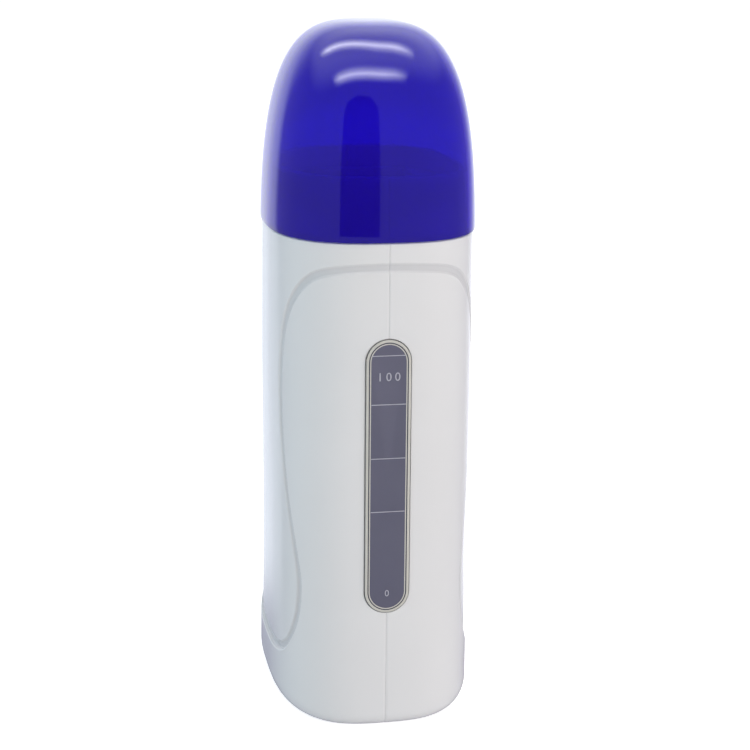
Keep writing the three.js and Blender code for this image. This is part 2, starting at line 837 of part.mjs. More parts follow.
// Chamber frame: a box tube with a floor, hung by its deck on the ledge inside the neck
function chamberFrame() {
  const corner = chamberCorner + chamberWall;
  const tubeFoot = chamberFloor - chamberWall;
  const tube = prism(roundedShape(2 * frameHalfWidth, 2 * frameHalfDepth, corner), tubeFoot, deckFoot);
  const deck = loft([
    neckRing(deckFoot, neckWall + restGap),
    neckRing(deckTop, neckWall + restGap),
  ]);
  const room = prism(roundedShape(chamberWidth, chamberDepth, chamberCorner), chamberFloor, totalHeight);
  const slotLength = windowLength - 2 * windowWall;
  const slot = prism(roundedShape(slotWidth, slotLength, slotWidth / 2 - restGap), 0, bodyDepthFoot);
  slot.rotateX(Math.PI / 2).translate(0, 0, windowMiddle);
  const opening = plateWindow(restGap, 2 * frameHalfWidth + 2 * overrun);
  const shelfFoot = plateFoot - restGap - chamberWall;
  const shelfReach = frameHalfWidth + restGap + plateSheet;
  const shelf = block(
    [-shelfReach, -plateDepth / 2, shelfFoot],
    [shelfReach, plateDepth / 2, shelfFoot + chamberWall],
  );
  const whole = join(solidOf(tube), solidOf(deck), solidOf(shelf));
  return cut(whole, solidOf(room), solidOf(slot), solidOf(opening));
}

const padDepth = plateDepth - 2 * plateRim;
const padLength = plateLength - 2 * plateRim;

function plateWindow(gap, width) {
  const shape = roundedShape(padDepth + 2 * gap, padLength + 2 * gap, plateCorner + gap);
  return alongX(prism(shape, -width / 2, width / 2)).translate(0, 0, plateMiddle);
}

// Pressed aluminium tray: its pad fills the frame's opening, flush with the chamber.
// It and what lies on it are drawn on the left, and the right set is turned half round.
const rimFace = -frameHalfWidth - restGap;

function heaterPlate() {
  const layer = (shape, from, to) => {
    const solid = alongX(prism(shape, from, to)).translate(0, 0, plateMiddle);
    return solidOf(solid);
  };
  const rim = layer(roundedShape(plateDepth, plateLength, plateCorner), rimFace - plateSheet, rimFace);
  const pad = layer(roundedShape(padDepth, padLength, plateCorner), rimFace - plateSheet, padFace);
  const inner = roundedShape(padDepth - 2 * plateSheet, padLength - 2 * plateSheet, plateCorner / 2);
  const pocket = layer(inner, rimFace - plateSheet - overrun, padFace - plateSheet);
  return cut(join(rim, pad), pocket);
}

function ptcHeater() {
  const shape = roundedShape(ptcDepth, ptcLength, ptcCorner);
  return alongX(prism(shape, ptcBack, ptcFace)).translate(0, 0, plateMiddle);
}

function micaSheet() {
  const shape = roundedShape(micaDepth, micaLength, ptcCorner);
  return alongX(prism(shape, micaBack, micaBack + micaThickness)).translate(0, 0, plateMiddle);
}

// A bowed strip: flat on the mica in the middle, its ends against the shell's wall.
function leafSpring() {
  const section = bodySection(plateMiddle);
  const endY = springSpan / 2;
  const wallShare = (1 - (endY / section.halfDepth) ** section.power) ** (1 / section.power);
  const endX = -section.halfWidth * wallShare + shellWall + 2 * restGap + springThickness;
  const front = [];
  const back = [];
  for (let i = 0; i <= springSteps; i++) {
    const y = endY * ((2 * i) / springSteps - 1);
    const rise = THREE.MathUtils.smoothstep(Math.abs(y), springFlat / 2, endY);
    const x = THREE.MathUtils.lerp(springFace, endX, rise);
    front.push(new THREE.Vector2(x, y));
    back.unshift(new THREE.Vector2(x - springThickness, y));
  }
  const shape = new THREE.Shape([...front, ...back]);
  return prism(shape, plateMiddle - springHeight / 2, plateMiddle + springHeight / 2);
}

const fuseX = -ptcFace + fuseDiameter / 2;

function thermalFuse() {
  const body = rodZ(fuseDiameter, fuseFoot, fuseFoot + fuseLength, fuseX, fuseSideways);
  const leadFoot = fuseFoot - fuseLeadLength;
  const leadTop = fuseFoot + fuseLength + fuseLeadLength;
  const leads = rodZ(fuseLeadDiameter, leadFoot, leadTop, fuseX, fuseSideways);
  return join(solidOf(body), solidOf(leads));
}

// Wires follow their routes from piece to piece inside the housing.
function wireAlong(route, diameter) {
  const curve = new THREE.CatmullRomCurve3(route.map((point) => new THREE.Vector3(...point)));
  const corners = Array.from({ length: wireSides }, (_, i) => {
    const angle = (i / wireSides) * 2 * Math.PI;
    return new THREE.Vector2(Math.cos(angle), Math.sin(angle)).multiplyScalar(diameter / 2);
  });
  const steps = route.length * wireStepsPerPoint;
  return new THREE.ExtrudeGeometry(new THREE.Shape(corners), { extrudePath: curve, steps });
}

const tagY = bodySection(inletHeight).halfDepth - inletDepth - tagLength;
const tagEndY = tagY - restGap;
const tagX = pinSpacing / 2;
const ptcWireX = ptcFace - ptcThickness / 2;
const ptcWireY = ptcDepth / 4;
const pocketFoot = plateFoot + plateRim + plateSheet;
const outX = rimFace - plateSheet - restGap - wireDiameter;
const underFloor = chamberFloor - chamberWall;
const highWire = inletHeight + tagHeight / 4;
const lowWire = inletHeight - tagHeight / 4;
const overTags = (inletHeight + tagHeight / 2 + underFloor) / 2;

function heaterWires() {
  const down = (y) => [
    [ptcWireX, y, ptcFoot],
    [ptcWireX, y, ptcFoot - wireDiameter],
    [outX, y, pocketFoot + wireDiameter],
    [outX, y, plateFoot],
    [outX + wireDiameter, y, underFloor],
  ];
  const liveLeft = [
    ...down(ptcWireY),
    [-3 * tagX, tagEndY / 2, lowWire],
    [-tagX, tagEndY - 3 * wireDiameter, lowWire],
    [-tagX, tagEndY, lowWire],
  ];
  const neutralLeft = [
    ...down(-ptcWireY),
    [-3 * tagX, 0, lowWire],
    [tagX / 2, tagEndY / 3, lowWire],
    [tagX, tagEndY - 3 * wireDiameter, lowWire],
    [tagX, tagEndY, lowWire],
  ];
  const neutralRight = [
    ...down(-ptcWireY).map(([x, y, z]) => [-x, y, z]),
    [3 * tagX, 0, highWire],
    [tagX, tagEndY - 3 * wireDiameter, highWire],
    [tagX, tagEndY, highWire],
  ];
  const fuseTop = fuseFoot + fuseLength + fuseLeadLength + restGap;
  const beside = fuseSideways + fuseDiameter / 2 + wireDiameter;
  const liveRight = [
    [fuseX, fuseSideways, fuseTop],
    [fuseX, fuseSideways, fuseTop + 2 * wireDiameter],
    [fuseX, (fuseSideways + beside) / 2, fuseTop + 3 * wireDiameter],
    [fuseX, beside, fuseTop + wireDiameter],
    [fuseX, beside, fuseFoot],
    [fuseX, beside, ptcFoot],
    [-outX, beside, pocketFoot + wireDiameter],
    [-outX, beside, plateFoot],
    [-outX - wireDiameter, fuseSideways, underFloor],
    [3 * tagX, tagEndY / 2, overTags],
    [0, tagEndY / 2, overTags],
    [-tagX, tagEndY - 2 * wireDiameter, highWire],
    [-tagX, tagEndY, highWire],
  ];
  const fuseLink = [
    [-ptcWireX, ptcWireY, ptcFoot],
    [-ptcWireX, ptcWireY + wireDiameter, ptcFoot - 2 * wireDiameter],
    [fuseX, fuseSideways - 2 * wireDiameter, ptcFoot - 2 * wireDiameter],
    [fuseX, fuseSideways, ptcFoot + wireDiameter],
    [fuseX, fuseSideways, fuseFoot - fuseLeadLength - restGap],
  ];
  return [
    meshOf("left_live_wire", wireAlong(liveLeft, wireDiameter), liveSleeve),
    meshOf("left_neutral_wire", wireAlong(neutralLeft, wireDiameter), neutralSleeve),
    meshOf("right_live_wire", wireAlong(liveRight, wireDiameter), liveSleeve),
    meshOf("right_neutral_wire", wireAlong(neutralRight, wireDiameter), neutralSleeve),
    meshOf("fuse_link_wire", wireAlong(fuseLink, wireDiameter), liveSleeve),
  ];
}

function lampLeads() {
  const tagTop = inletHeight + tagHeight / 2 + restGap;
  const overInlet = (inletHeight + inletThickness / 2 + underFloor) / 2;
  const tagMiddleY = tagY + tagLength / 2;
  const resistorFoot = resistorTop - resistorLength - legLength - restGap;
  const toLive = [
    [-tagX, tagMiddleY, tagTop],
    [-tagX, tagMiddleY, tagTop + leadDiameter],
    [-tagX, tagY + tagLength, overInlet],
    [-tagX, lampY - tagLength / 2, overInlet],
    [-neonLegSpacing / 2, lampY, resistorFoot - leadDiameter],
    [-neonLegSpacing / 2, lampY, resistorFoot],
  ];
  const toNeutral = [
    [tagX, tagMiddleY, tagTop],
    [tagX, tagMiddleY, tagTop + leadDiameter],
    [tagX, tagY + tagLength, overInlet],
    [tagX, lampY - tagLength / 2, overInlet],
    [tagX, lampY, resistorFoot + leadDiameter],
    [neonLegSpacing / 2, lampY, lampFoot - legLength - 3 * leadDiameter],
    [neonLegSpacing / 2, lampY, lampFoot - legLength - restGap],
  ];
  return [
    meshOf("lamp_live_lead", wireAlong(toLive, leadDiameter), liveSleeve),
    meshOf("lamp_neutral_lead", wireAlong(toNeutral, leadDiameter), neutralSleeve),
  ];
}

// Screws
function shellScrew(y) {
  const seat = screwSeat + restGap;
  const shank = rodX(screwDiameter, seat - screwLength, seat + headHeight / 2, y, screwHeight);
  const head = rodX(headDiameter, seat, seat + headHeight, y, screwHeight);
  return join(solidOf(shank), solidOf(head));
}

// Cap
function cap() {
  const foot = bodyHeight + restGap;
  const outer = domeLevelShares.map((share) =>
    capRing(foot + share * (totalHeight - foot), -capProud, totalHeight, domeReach, quarterSteps),
  );
  const peak = outer[outer.length - 1].map(({ x, y }) => new THREE.Vector3(x / 4, y / 4, totalHeight));
  const inner = domeLevelShares.map((share) => {
    const z = foot + share * (capInsideTop - foot);
    return capRing(z, capWall - capProud, capInsideTop, capInsideReach, innerQuarterSteps);
  });
  const below = inner[0].map(({ x, y }) => new THREE.Vector3(x, y, foot - overrun));
  return cut(solidOf(loft([...outer, peak])), solidOf(loft([below, ...inner])));
}

// Assembly
function heaterSet(side) {
  const set = new THREE.Group();
  set.add(
    meshOf(`${side}_heater_plate`, heaterPlate(), aluminium),
    meshOf(`${side}_ptc_heater`, ptcHeater(), ptcCase),
    meshOf(`${side}_mica_sheet`, micaSheet(), mica),
    meshOf(`${side}_leaf_spring`, leafSpring(), springSteel),
  );
  return set;
}

const rightHeaterSet = heaterSet("right");
rightHeaterSet.rotation.z = Math.PI;

const heater = new THREE.Group();
heater.add(
  meshOf("left_shell", leftShell(), whiteAbs),
  meshOf("right_shell", rightShell(), whiteAbs),
  meshOf("cap", cap(), blueClear),
  meshOf("level_window", levelWindow(), clearPlastic),
  meshOf("chamber_frame", chamberFrame(), paleHeatPlastic),
  heaterSet("left"),
  rightHeaterSet,
  meshOf("thermal_fuse", thermalFuse(), aluminium),
  meshOf("inlet_housing", inletHousing(), blackPlastic),
  meshOf("inlet_live_pin", inletPin(-1), brass),
  meshOf("inlet_neutral_pin", inletPin(1), brass),
  meshOf("pilot_lens", pilotLens(), redClear),
  meshOf("neon_lamp", neonLamp(), glass),
  meshOf("lamp_resistor", lampResistor(), resistorCoat),
  ...heaterWires(),
  ...lampLeads(),
  meshOf("front_shell_screw", shellScrew(-screwSideways), zincSteel),
  meshOf("rear_shell_screw", shellScrew(screwSideways), zincSteel),
);

export default heater;
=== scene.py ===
import math

import bmesh
import bpy
import numpy as np
from mathutils import Matrix, Vector


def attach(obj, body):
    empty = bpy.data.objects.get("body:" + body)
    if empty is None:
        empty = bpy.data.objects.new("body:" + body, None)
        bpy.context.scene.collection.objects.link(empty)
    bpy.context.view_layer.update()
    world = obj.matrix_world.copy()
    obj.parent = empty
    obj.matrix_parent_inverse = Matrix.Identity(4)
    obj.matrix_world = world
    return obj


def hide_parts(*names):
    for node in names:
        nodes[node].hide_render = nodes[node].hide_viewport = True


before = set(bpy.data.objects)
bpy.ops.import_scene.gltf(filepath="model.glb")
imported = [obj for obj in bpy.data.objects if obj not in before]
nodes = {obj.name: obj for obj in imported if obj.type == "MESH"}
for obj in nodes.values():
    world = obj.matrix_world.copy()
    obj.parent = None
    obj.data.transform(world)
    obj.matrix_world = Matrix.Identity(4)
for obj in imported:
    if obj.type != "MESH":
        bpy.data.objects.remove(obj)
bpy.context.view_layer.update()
mm = 0.001
quarterTurn = math.pi / 2
print("frame loaded:", len(nodes), "nodes")


# Colours are written as sRGB hex and turned to linear here
def hexColor(text):
    parts = [int(text[i:i + 2], 16) / 255 for i in (0, 2, 4)]
    line = [c / 12.92 if c <= 0.04045 else ((c + 0.055) / 1.055) ** 2.4 for c in parts]
    return (*line, 1.0)


# Adds a node. A link's value is a socket, a fixed value, or a sum written (operation, value, ...).
def addNode(tree, kind, settings=None, links=None):
    node = tree.nodes.new(kind)
    for name, value in (settings or {}).items():
        setattr(node, name, value)
    for key, value in (links or {}).items():
        if isinstance(value, tuple) and isinstance(value[0], str):
            operation, *values = value
            made = addNode(tree, "ShaderNodeMath", {"operation": operation}, dict(enumerate(values)))
            value = made.outputs[0]
        if isinstance(value, bpy.types.NodeSocket):
            tree.links.new(value, node.inputs[key])
        else:
            node.inputs[key].default_value = value
    return node


# Turns on the nodes of a material or of the world, and empties its tree
def emptyTree(owner):
    owner.use_nodes = True
    owner.node_tree.nodes.clear()
    return owner.node_tree


# Every finish has a slow drift of tone, a fine grain in its gloss and a fine bump
def finishMaterial(name, dark, light, driftMm, grainMm, smoothest, roughest, bump, bumpMm, shader, more):
    material = bpy.data.materials.new(name)
    tree = emptyTree(material)
    place = addNode(tree, "ShaderNodeTexCoord").outputs["Object"]
    if "stretch" in more:
        drawn = addNode(tree, "ShaderNodeMapping", None, {"Vector": place, "Scale": more["stretch"]})
        place = drawn.outputs["Vector"]
    drift = addNode(tree, "ShaderNodeTexNoise", None, {
        "Vector": place, "Scale": 1 / (driftMm * mm), "Detail": 3.0, "Roughness": 0.5})
    grain = addNode(tree, "ShaderNodeTexNoise", None, {
        "Vector": place, "Scale": 1 / (grainMm * mm), "Detail": 2.0, "Roughness": 0.6})
    tone = addNode(tree, "ShaderNodeMix", {"data_type": "RGBA"}, {
        "Factor": drift.outputs["Fac"], 6: hexColor(dark), 7: hexColor(light)})
    gloss = addNode(tree, "ShaderNodeMapRange", None, {
        "Value": grain.outputs["Fac"], "From Min": 0.3, "From Max": 0.7,
        "To Min": smoothest, "To Max": roughest})
    color, rough = tone.outputs[2], gloss.outputs["Result"]
    if "groove" in more:
        # the groove's floor is duller, and its colour is painted a touch darker than the skin: painted shade
        # in the recess
        grooveDullAndShade = addNode(tree, "ShaderNodeAttribute", {"attribute_name": "groove"}).outputs["Fac"]
        deep = addNode(tree, "ShaderNodeMix", {"data_type": "RGBA"}, {
            "Factor": grooveDullAndShade, 6: color, 7: hexColor(more["groove"])})
        color = deep.outputs[2]
        rough = ("ADD", rough, ("MULTIPLY", grooveDullAndShade, more["grooveDull"]))
    relief = addNode(tree, "ShaderNodeBump", None, {
        "Height": grain.outputs["Fac"], "Strength": bump, "Distance": bumpMm * mm})
    surface = addNode(tree, "ShaderNodeBsdfPrincipled", None, {
        "Base Color": color, "Roughness": rough, "Normal": relief.outputs["Normal"], **shader})
    if "passes" in more:
        # light reaches what is inside, tinted by the wall: more deeply at the skirt than in the dome
        skirt, dome, skirtTop, domeFoot = more["passes"]
        height = addNode(tree, "ShaderNodeSeparateXYZ", None, {"Vector": place}).outputs["Z"]
        rise = addNode(tree, "ShaderNodeMapRange", {"interpolation_type": "SMOOTHSTEP"}, {
            "Value": height, "From Min": skirtTop * mm, "From Max": domeFoot * mm})
        tint = addNode(tree, "ShaderNodeMix", {"data_type": "RGBA"}, {
            "Factor": rise.outputs["Result"], 6: hexColor(skirt), 7: hexColor(dome)})
        clear = addNode(tree, "ShaderNodeBsdfTransparent", None, {"Color": tint.outputs[2]})
        path = addNode(tree, "ShaderNodeLightPath")
        surface = addNode(tree, "ShaderNodeMixShader", None, {
            0: path.outputs["Is Shadow Ray"], 1: surface.outputs["BSDF"], 2: clear.outputs[0]})
    addNode(tree, "ShaderNodeOutputMaterial", None, {"Surface": surface.outputs[0]})
    return material


# In each row: dark and light tone, drift and grain in mm, smoothest and roughest gloss, strength of
# the bump and its depth in mm, the shader's own values, and what only this finish has
looks = {
    # moulded ABS, spark-eroded mould: a satin skin, cool white, hardly any texture
    "whiteAbs": ("E1E1E2", "E8E8E9", 42, 0.45, 0.13, 0.19, 0.05, 0.02, {"IOR": 1.53},
                 # the groove tone D2D2D4 is painted shade in the recess; grooveDull makes its floor duller
                 {"groove": "D2D2D4", "grooveDull": 0.3}),
    # clear tinted polystyrene from a polished mould: glassy, each wall passes a strong violet blue
    "bluePolystyrene": ("3A22CA", "4228D2", 30, 6, 0.05, 0.07, 0.015, 0.05,
                        {"IOR": 1.59, "Transmission Weight": 0.8},
                        {"passes": ("6A52A4", "D8D0FF", 160, 170)}),
    # clear polycarbonate over the dark chamber: a smoky grey-violet pane, partly see-through, with painted
    # shade standing for the dim chamber behind it
    "clearPanePaintedShade": ("7B7B90", "868699", 18, 3, 0.08, 0.12, 0.04, 0.03,
                  {"IOR": 1.58, "Transmission Weight": 0.45}, {}),
    # the same moulding seen edgewise: its pale tone is painted light, for the light it pipes from the white
    # shell
    "clearRimPaintedLight": ("E6E4DA", "F4F2EA", 5, 1.2, 0.08, 0.14, 0.05, 0.03,
                 {"IOR": 1.58, "Transmission Weight": 0.3}, {}),
    # the bevel's foot: its dark tone is painted shade, for the view down into the gap
    "clearEdgePaintedShade": ("55555F", "62626D", 4, 1.5, 0.08, 0.14, 0.05, 0.03,
                  {"IOR": 1.58, "Transmission Weight": 0.4}, {}),
    # pad-printed light grey ink
    "scaleInk": ("9E9EA9", "BDBDC7", 2, 0.2, 0.45, 0.6, 0.2, 0.01, {"IOR": 1.5}, {}),
    # heat-resistant plastic: dull and pale, with short fibres in its skin
    "paleHeatPlastic": ("D3D4D8", "DFE0E3", 14, 0.35, 0.5, 0.66, 0.3, 0.03, {"IOR": 1.55}, {}),
    # pressed aluminium sheet, with the fine lines of the roller
    "pressedAluminium": ("B9BBBE", "CDCFD1", 9, 0.6, 0.28, 0.42, 0.18, 0.02, {"Metallic": 1.0},
                         {"stretch": (1.0, 1.0, 0.08)}),
    # heater casing of aluminium in amber polyimide film: warm and slightly glossy
    "filmWrappedHeater": ("A9712C", "C08A3E", 8, 0.9, 0.2, 0.34, 0.2, 0.03, {"Metallic": 0.35}, {}),
    # pressed mica: small flakes in a tan binder
    "pressedMica": ("8E6F42", "C9AA74", 1.4, 0.5, 0.32, 0.6, 0.4, 0.03, {"IOR": 1.58}, {}),
    # hardened strip steel, blued a little by its heat treatment
    "springSteel": ("7D8087", "989BA1", 5, 0.5, 0.24, 0.36, 0.15, 0.02, {"Metallic": 1.0},
                    {"stretch": (1.0, 0.1, 1.0)}),
    # moulded black polyamide with a fine matt grain
    "blackPolyamide": ("18181A", "222225", 7, 0.3, 0.38, 0.52, 0.3, 0.03, {"IOR": 1.53}, {}),
    # turned brass: yellow metal with rings left by the tool
    "turnedBrass": ("B98E38", "D3AA55", 3, 0.3, 0.18, 0.32, 0.2, 0.01, {"Metallic": 1.0},
                    {"stretch": (1.0, 2.5, 1.0)}),
    # tinted acrylic lamp cover: glossy and deep red
    "redAcrylic": ("C01A1A", "D62A22", 3, 0.8, 0.05, 0.1, 0.05, 0.02,
                   {"IOR": 1.49, "Transmission Weight": 0.6}, {}),
    # soda glass bulb
    "lampGlass": ("E2E9EC", "EEF3F5", 3, 1, 0.02, 0.04, 0.02, 0.02,
                  {"IOR": 1.52, "Transmission Weight": 0.9}, {}),
    # lacquered ceramic resistor
    "resistorLacquer": ("C2A877", "D7C095", 1.5, 0.4, 0.35, 0.5, 0.2, 0.02, {"IOR": 1.5}, {}),
    # silicone-rubber sleeving: dull, with faint drag lines
    "brownSleeve": ("6B3F25", "7F4E31", 4, 0.25, 0.5, 0.62, 0.25, 0.02, {"IOR": 1.43}, {}),
    "blueSleeve": ("28569C", "3768B2", 4, 0.25, 0.5, 0.62, 0.25, 0.02, {"IOR": 1.43}, {}),
    # zinc-plated steel screw, pale and slightly mottled
    "zincSteel": ("9EA2A8", "BCC0C4", 1.2, 0.3, 0.22, 0.38, 0.2, 0.01, {"Metallic": 1.0}, {}),
}
materials = {name: finishMaterial(name, *row) for name, row in looks.items()}
print("materials made:", len(materials))


def newObject(name, data):
    thing = bpy.data.objects.new(name, data)
    bpy.context.scene.collection.objects.link(thing)
    return thing


def meshFrom(name, points, faces):
    mesh = bpy.data.meshes.new(name)
    mesh.from_pydata([tuple(p) for p in points], [], faces)
    mesh.validate()
    mesh.update()
    return mesh


# Rings of equal count, counterclockwise seen from above, joined upwards and closed by fans
def ringLoft(name, rings):
    count = len(rings[0])
    points = [tuple(p) for ring in rings for p in ring]
    faces = []
    for level in range(len(rings) - 1):
        low = level * count
        for i in range(count):
            j = (i + 1) % count
            faces.append((low + i, low + j, low + count + j, low + count + i))
    for level, below in ((0, True), (len(rings) - 1, False)):
        points.append(tuple(np.mean(rings[level], axis=0)))
        start = level * count
        for i in range(count):
            j = (i + 1) % count
            faces.append((len(points) - 1, start + (j if below else i), start + (i if below else j)))
    return newObject(name, meshFrom(name, points, faces))


# The object's evaluated mesh takes the place of its own, and its modifiers go
def settle(thing):
    bpy.context.view_layer.update()
    graph = bpy.context.evaluated_depsgraph_get()
    mesh = bpy.data.meshes.new_from_object(thing.evaluated_get(graph))
    thing.modifiers.clear()
    thing.data = mesh
    return thing


def combine(thing, tool, operation):
    step = thing.modifiers.new("shape", "BOOLEAN")
    step.operation = operation
    step.solver = "MANIFOLD"
    step.object = tool
    settle(thing)
    bpy.data.objects.remove(tool)
    return thing


def copyOf(name, thing):
    return newObject(name, thing.data.copy())


# Opens a mesh, lets a change act on it and writes it back
def editMesh(mesh, change):
    work = bmesh.new()
    work.from_mesh(mesh)
    change(work)
    work.to_mesh(mesh)
    work.free()


# A merged copy of a CAD node's mesh, without the normals it was stored with
def mergedNode(name, node):
    mesh = nodes[node].data.copy()
    editMesh(mesh, lambda work: bmesh.ops.remove_doubles(work, verts=work.verts, dist=0.002 * mm))
    stored = mesh.attributes.get("custom_normal")
    if stored:
        mesh.attributes.remove(stored)
    return newObject(name, mesh)


def boxPiece(name, low, high):
    x0, y0, z0 = (v * mm for v in low)
    x1, y1, z1 = (v * mm for v in high)
    rings = [[(x0, y0, z), (x1, y0, z), (x1, y1, z), (x0, y1, z)] for z in (z0, z1)]
    return ringLoft(name, rings)


# Smooth shading that keeps edges sharper than an angle
def finishPiece(thing, look, sharpDegrees=32):
    mesh = thing.data
    mesh.materials.clear()
    mesh.materials.append(materials[look])
    mesh.shade_smooth()
    mesh.set_sharp_from_angle(angle=math.radians(sharpDegrees))
    return thing


# The form of the body, as in the CAD
bodyForm = {
    "height": 145.5, "width": 60.7, "depthTop": 72.5, "depthFoot": 81.6,
    "squareTop": 0.248, "squareFoot": 0.34, "filletSide": 7.0, "filletFront": 4.0,
    "topEdge": 0.45, "neckHeight": 18.5, "neckEdge": 0.5, "neckWall": 1.8,
    "neckInset": 1.55, "deckTop": 157.3,
}
# Cutting boxes end here, clear of what they cut
beyond = {"side": 60, "below": -5, "above": 170, "front": 45, "plates": 30}
domeForm = {
    "top": 205.0, "reach": 79.5, "square": 0.3976, "wall": 1.8, "proud": 0.6,
    "foot": 145.8, "rimRound": 0.4, "columns": 176, "rows": 84,
}


# How far a rounding has drawn in, at a depth into it
def drawnIn(radius, into):
    into = np.clip(into, 0, radius)
    return radius - np.sqrt(np.maximum(radius ** 2 - into ** 2, 0))


# Half width, half depth and power of the plan at a height
def sectionAt(z):
    form = bodyForm
    z = np.clip(z, 0, form["height"])
    down = 1 - z / form["height"]
    depth = form["depthTop"] + (form["depthFoot"] - form["depthTop"]) * down
    square = form["squareTop"] + (form["squareFoot"] - form["squareTop"]) * down
    halfWidth = form["width"] / 2 - drawnIn(form["filletSide"], form["filletSide"] - z)
    halfDepth = depth / 2 - drawnIn(form["filletFront"], form["filletFront"] - z)
    return halfWidth, halfDepth, 2 / (1 - square)


# A quarter of the plan by its angle, and a table from angle to length along it
def quarterPoint(halfWidth, halfDepth, power, angle):
    x = halfWidth * np.maximum(np.cos(angle), 0) ** (2 / power)
    y = halfDepth * np.maximum(np.sin(angle), 0) ** (2 / power)
    return x, y


tableAngles = np.linspace(0, quarterTurn, 401)
tableX, tableY = quarterPoint(*sectionAt(bodyForm["height"] / 2), tableAngles)
tableLengths = np.concatenate([[0], np.cumsum(np.hypot(np.diff(tableX), np.diff(tableY)))])
quarterLength = tableLengths[-1]


# Points at a turn (0 left middle, 1 front seam, 2 right middle, 3 rear seam), inset from the plan
def planPoints(turn, section, inset):
    halfWidth, halfDepth, power = section
    turn = np.mod(turn, 4)
    quarter = np.floor(turn).astype(int) % 4
    part = turn - np.floor(turn)
    share = np.where(quarter % 2 == 1, 1 - part, part)
    angle = np.interp(share * quarterLength, tableLengths, tableAngles)
    x, y = quarterPoint(halfWidth, halfDepth, power, angle)
    normalX = (x / halfWidth) ** (power - 1) / halfWidth
    normalY = (y / halfDepth) ** (power - 1) / halfDepth
    size = np.hypot(normalX, normalY)
    x = x - inset * normalX / size
    y = y - inset * normalY / size
    signX = np.where((quarter == 0) | (quarter == 3), -1, 1)
    signY = np.where(quarter < 2, -1, 1)
    return signX * x, signY * y


# How much the dome has closed in at a height
def domeScale(z, top, reach):
    power = 2 / (1 - domeForm["square"])
    rise = np.clip((z - (top - reach)) / reach, 0, 1)
    return (1 - rise ** power) ** (1 / power)


# Neck: the plan at the top of the body, following the cap's inside at its sliding clearance
def neckPoints(turn, z, depth):
    top = domeForm["top"] - domeForm["wall"]
    reach = domeForm["reach"] - domeForm["wall"]
    scale = domeScale(z, top, reach) / domeScale(bodyForm["height"], top, reach)
    scale = np.minimum(scale, 1)
    x, y = planPoints(turn, sectionAt(bodyForm["height"]), bodyForm["neckInset"] + depth)
    return x * scale, y * scale


# A loft: one rule gives the points of each level across, along and up
def loft(name, rule, levels):
    return ringLoft(name, [np.column_stack(np.broadcast_arrays(*rule(*level))) * mm for level in levels])


def bodyLoft(name, levels, steps=144):
    turns = np.arange(4 * steps) / steps

    # a level may stand at another height than that of its plan
    def rule(kind, z, inset, standing=None):
        x, y = neckPoints(turns, z, inset) if kind == "neck" else planPoints(turns, sectionAt(z), inset)
        return x, y, z if standing is None else standing
    return loft(name, rule, levels)


# The outer skin with its groove, grip hollows and seam
skinForm = {
    "step": 0.95, "cuts": 3, "nearLine": 2.9, "flatRows": (-0.95, -0.6, -0.2), "coverRows": (0.2, 0.6, 0.9),
    "grooveWidth": 2.8, "grooveDepth": 0.6, "grooveSlope": 0.7, "grooveSoft": 0.25,
    "gripDepth": 0.65, "gripTop": 0.77, "gripDeep": 0.31,
    "seamHalf": 0.5, "seamDepth": 0.16, "seamGap": 0.045, "seamPower": 1.5,
    "facetGap": 0.02, "nearSeam": (0, 0.16, 0.32, 0.5, 0.75, 1.2), "lineRows": (10, 2),
    "markShare": 0.85, "markRows": (8, 1), "holeReach": (-3.2, 3),
    "line": [
        (0, 0.122), (0.19, 0.124), (0.33, 0.134), (0.415, 0.16), (0.478, 0.2),
        (0.512, 0.245), (0.52, 0.295), (0.5, 0.34), (0.462, 0.398), (0.42, 0.46),
        (0.38, 0.54), (0.352, 0.62), (0.345, 0.7), (0.358, 0.76), (0.39, 0.82),
        (0.445, 0.866), (0.52, 0.904), (0.61, 0.933), (0.75, 0.948), (1, 0.953),
    ],
}


# The line as a fine smooth curve in unrolled millimetres: across from the side's middle, and up
def unrolledLine(perPiece=14):
    points = np.array(skinForm["line"]) * [quarterLength, bodyForm["height"]]
    before = points[1] * [-1, 1]
    after = np.array([2 * points[-1][0] - points[-2][0], points[-2][1]])
    points = np.vstack([before, points, after])
    fine = []
    for i in range(1, len(points) - 2):
        a, b, c, d = points[i - 1:i + 3]
        for t in np.arange(perPiece) / perPiece:
            fine.append(0.5 * (2 * b + (c - a) * t + (2 * a - 5 * b + 4 * c - d) * t ** 2
                               + (3 * b - a - 3 * c + d) * t ** 3))
    fine.append(points[-2])
    return np.array(fine)


lineFine = unrolledLine()


# Signed distance to the line: negative inside the grip hollow and on the front panel
def lineDistance(turn, z):
    folded = np.abs(np.mod(turn + 1, 2) - 1)
    spot = np.column_stack([folded * quarterLength, z])
    nearest = np.full(len(spot), 1e9)
    for a, b in zip(lineFine[:-1], lineFine[1:]):
        along = b - a
        t = np.clip(((spot - a) @ along) / (along @ along), 0, 1)
        gap = np.hypot(*(spot - a - t[:, None] * along).T)
        nearest = np.minimum(nearest, gap)
    lineAcross = np.interp(z, lineFine[:, 1], lineFine[:, 0])
    inside = (spot[:, 0] < lineAcross) & (z > lineFine[0, 1])
    return np.where(inside, -nearest, nearest)


def smooth(value, low, high):
    t = np.clip((value - low) / (high - low), 0, 1)
    return t * t * (3 - 2 * t)


# Share of the groove's depth at a distance from its line
def grooveShare(distance):
    slope = np.clip((skinForm["grooveWidth"] / 2 - np.abs(distance)) / skinForm["grooveSlope"], 0, 1)
    soft = skinForm["grooveSoft"]
    return (1 - soft) * slope + soft * slope * slope * (3 - 2 * slope)


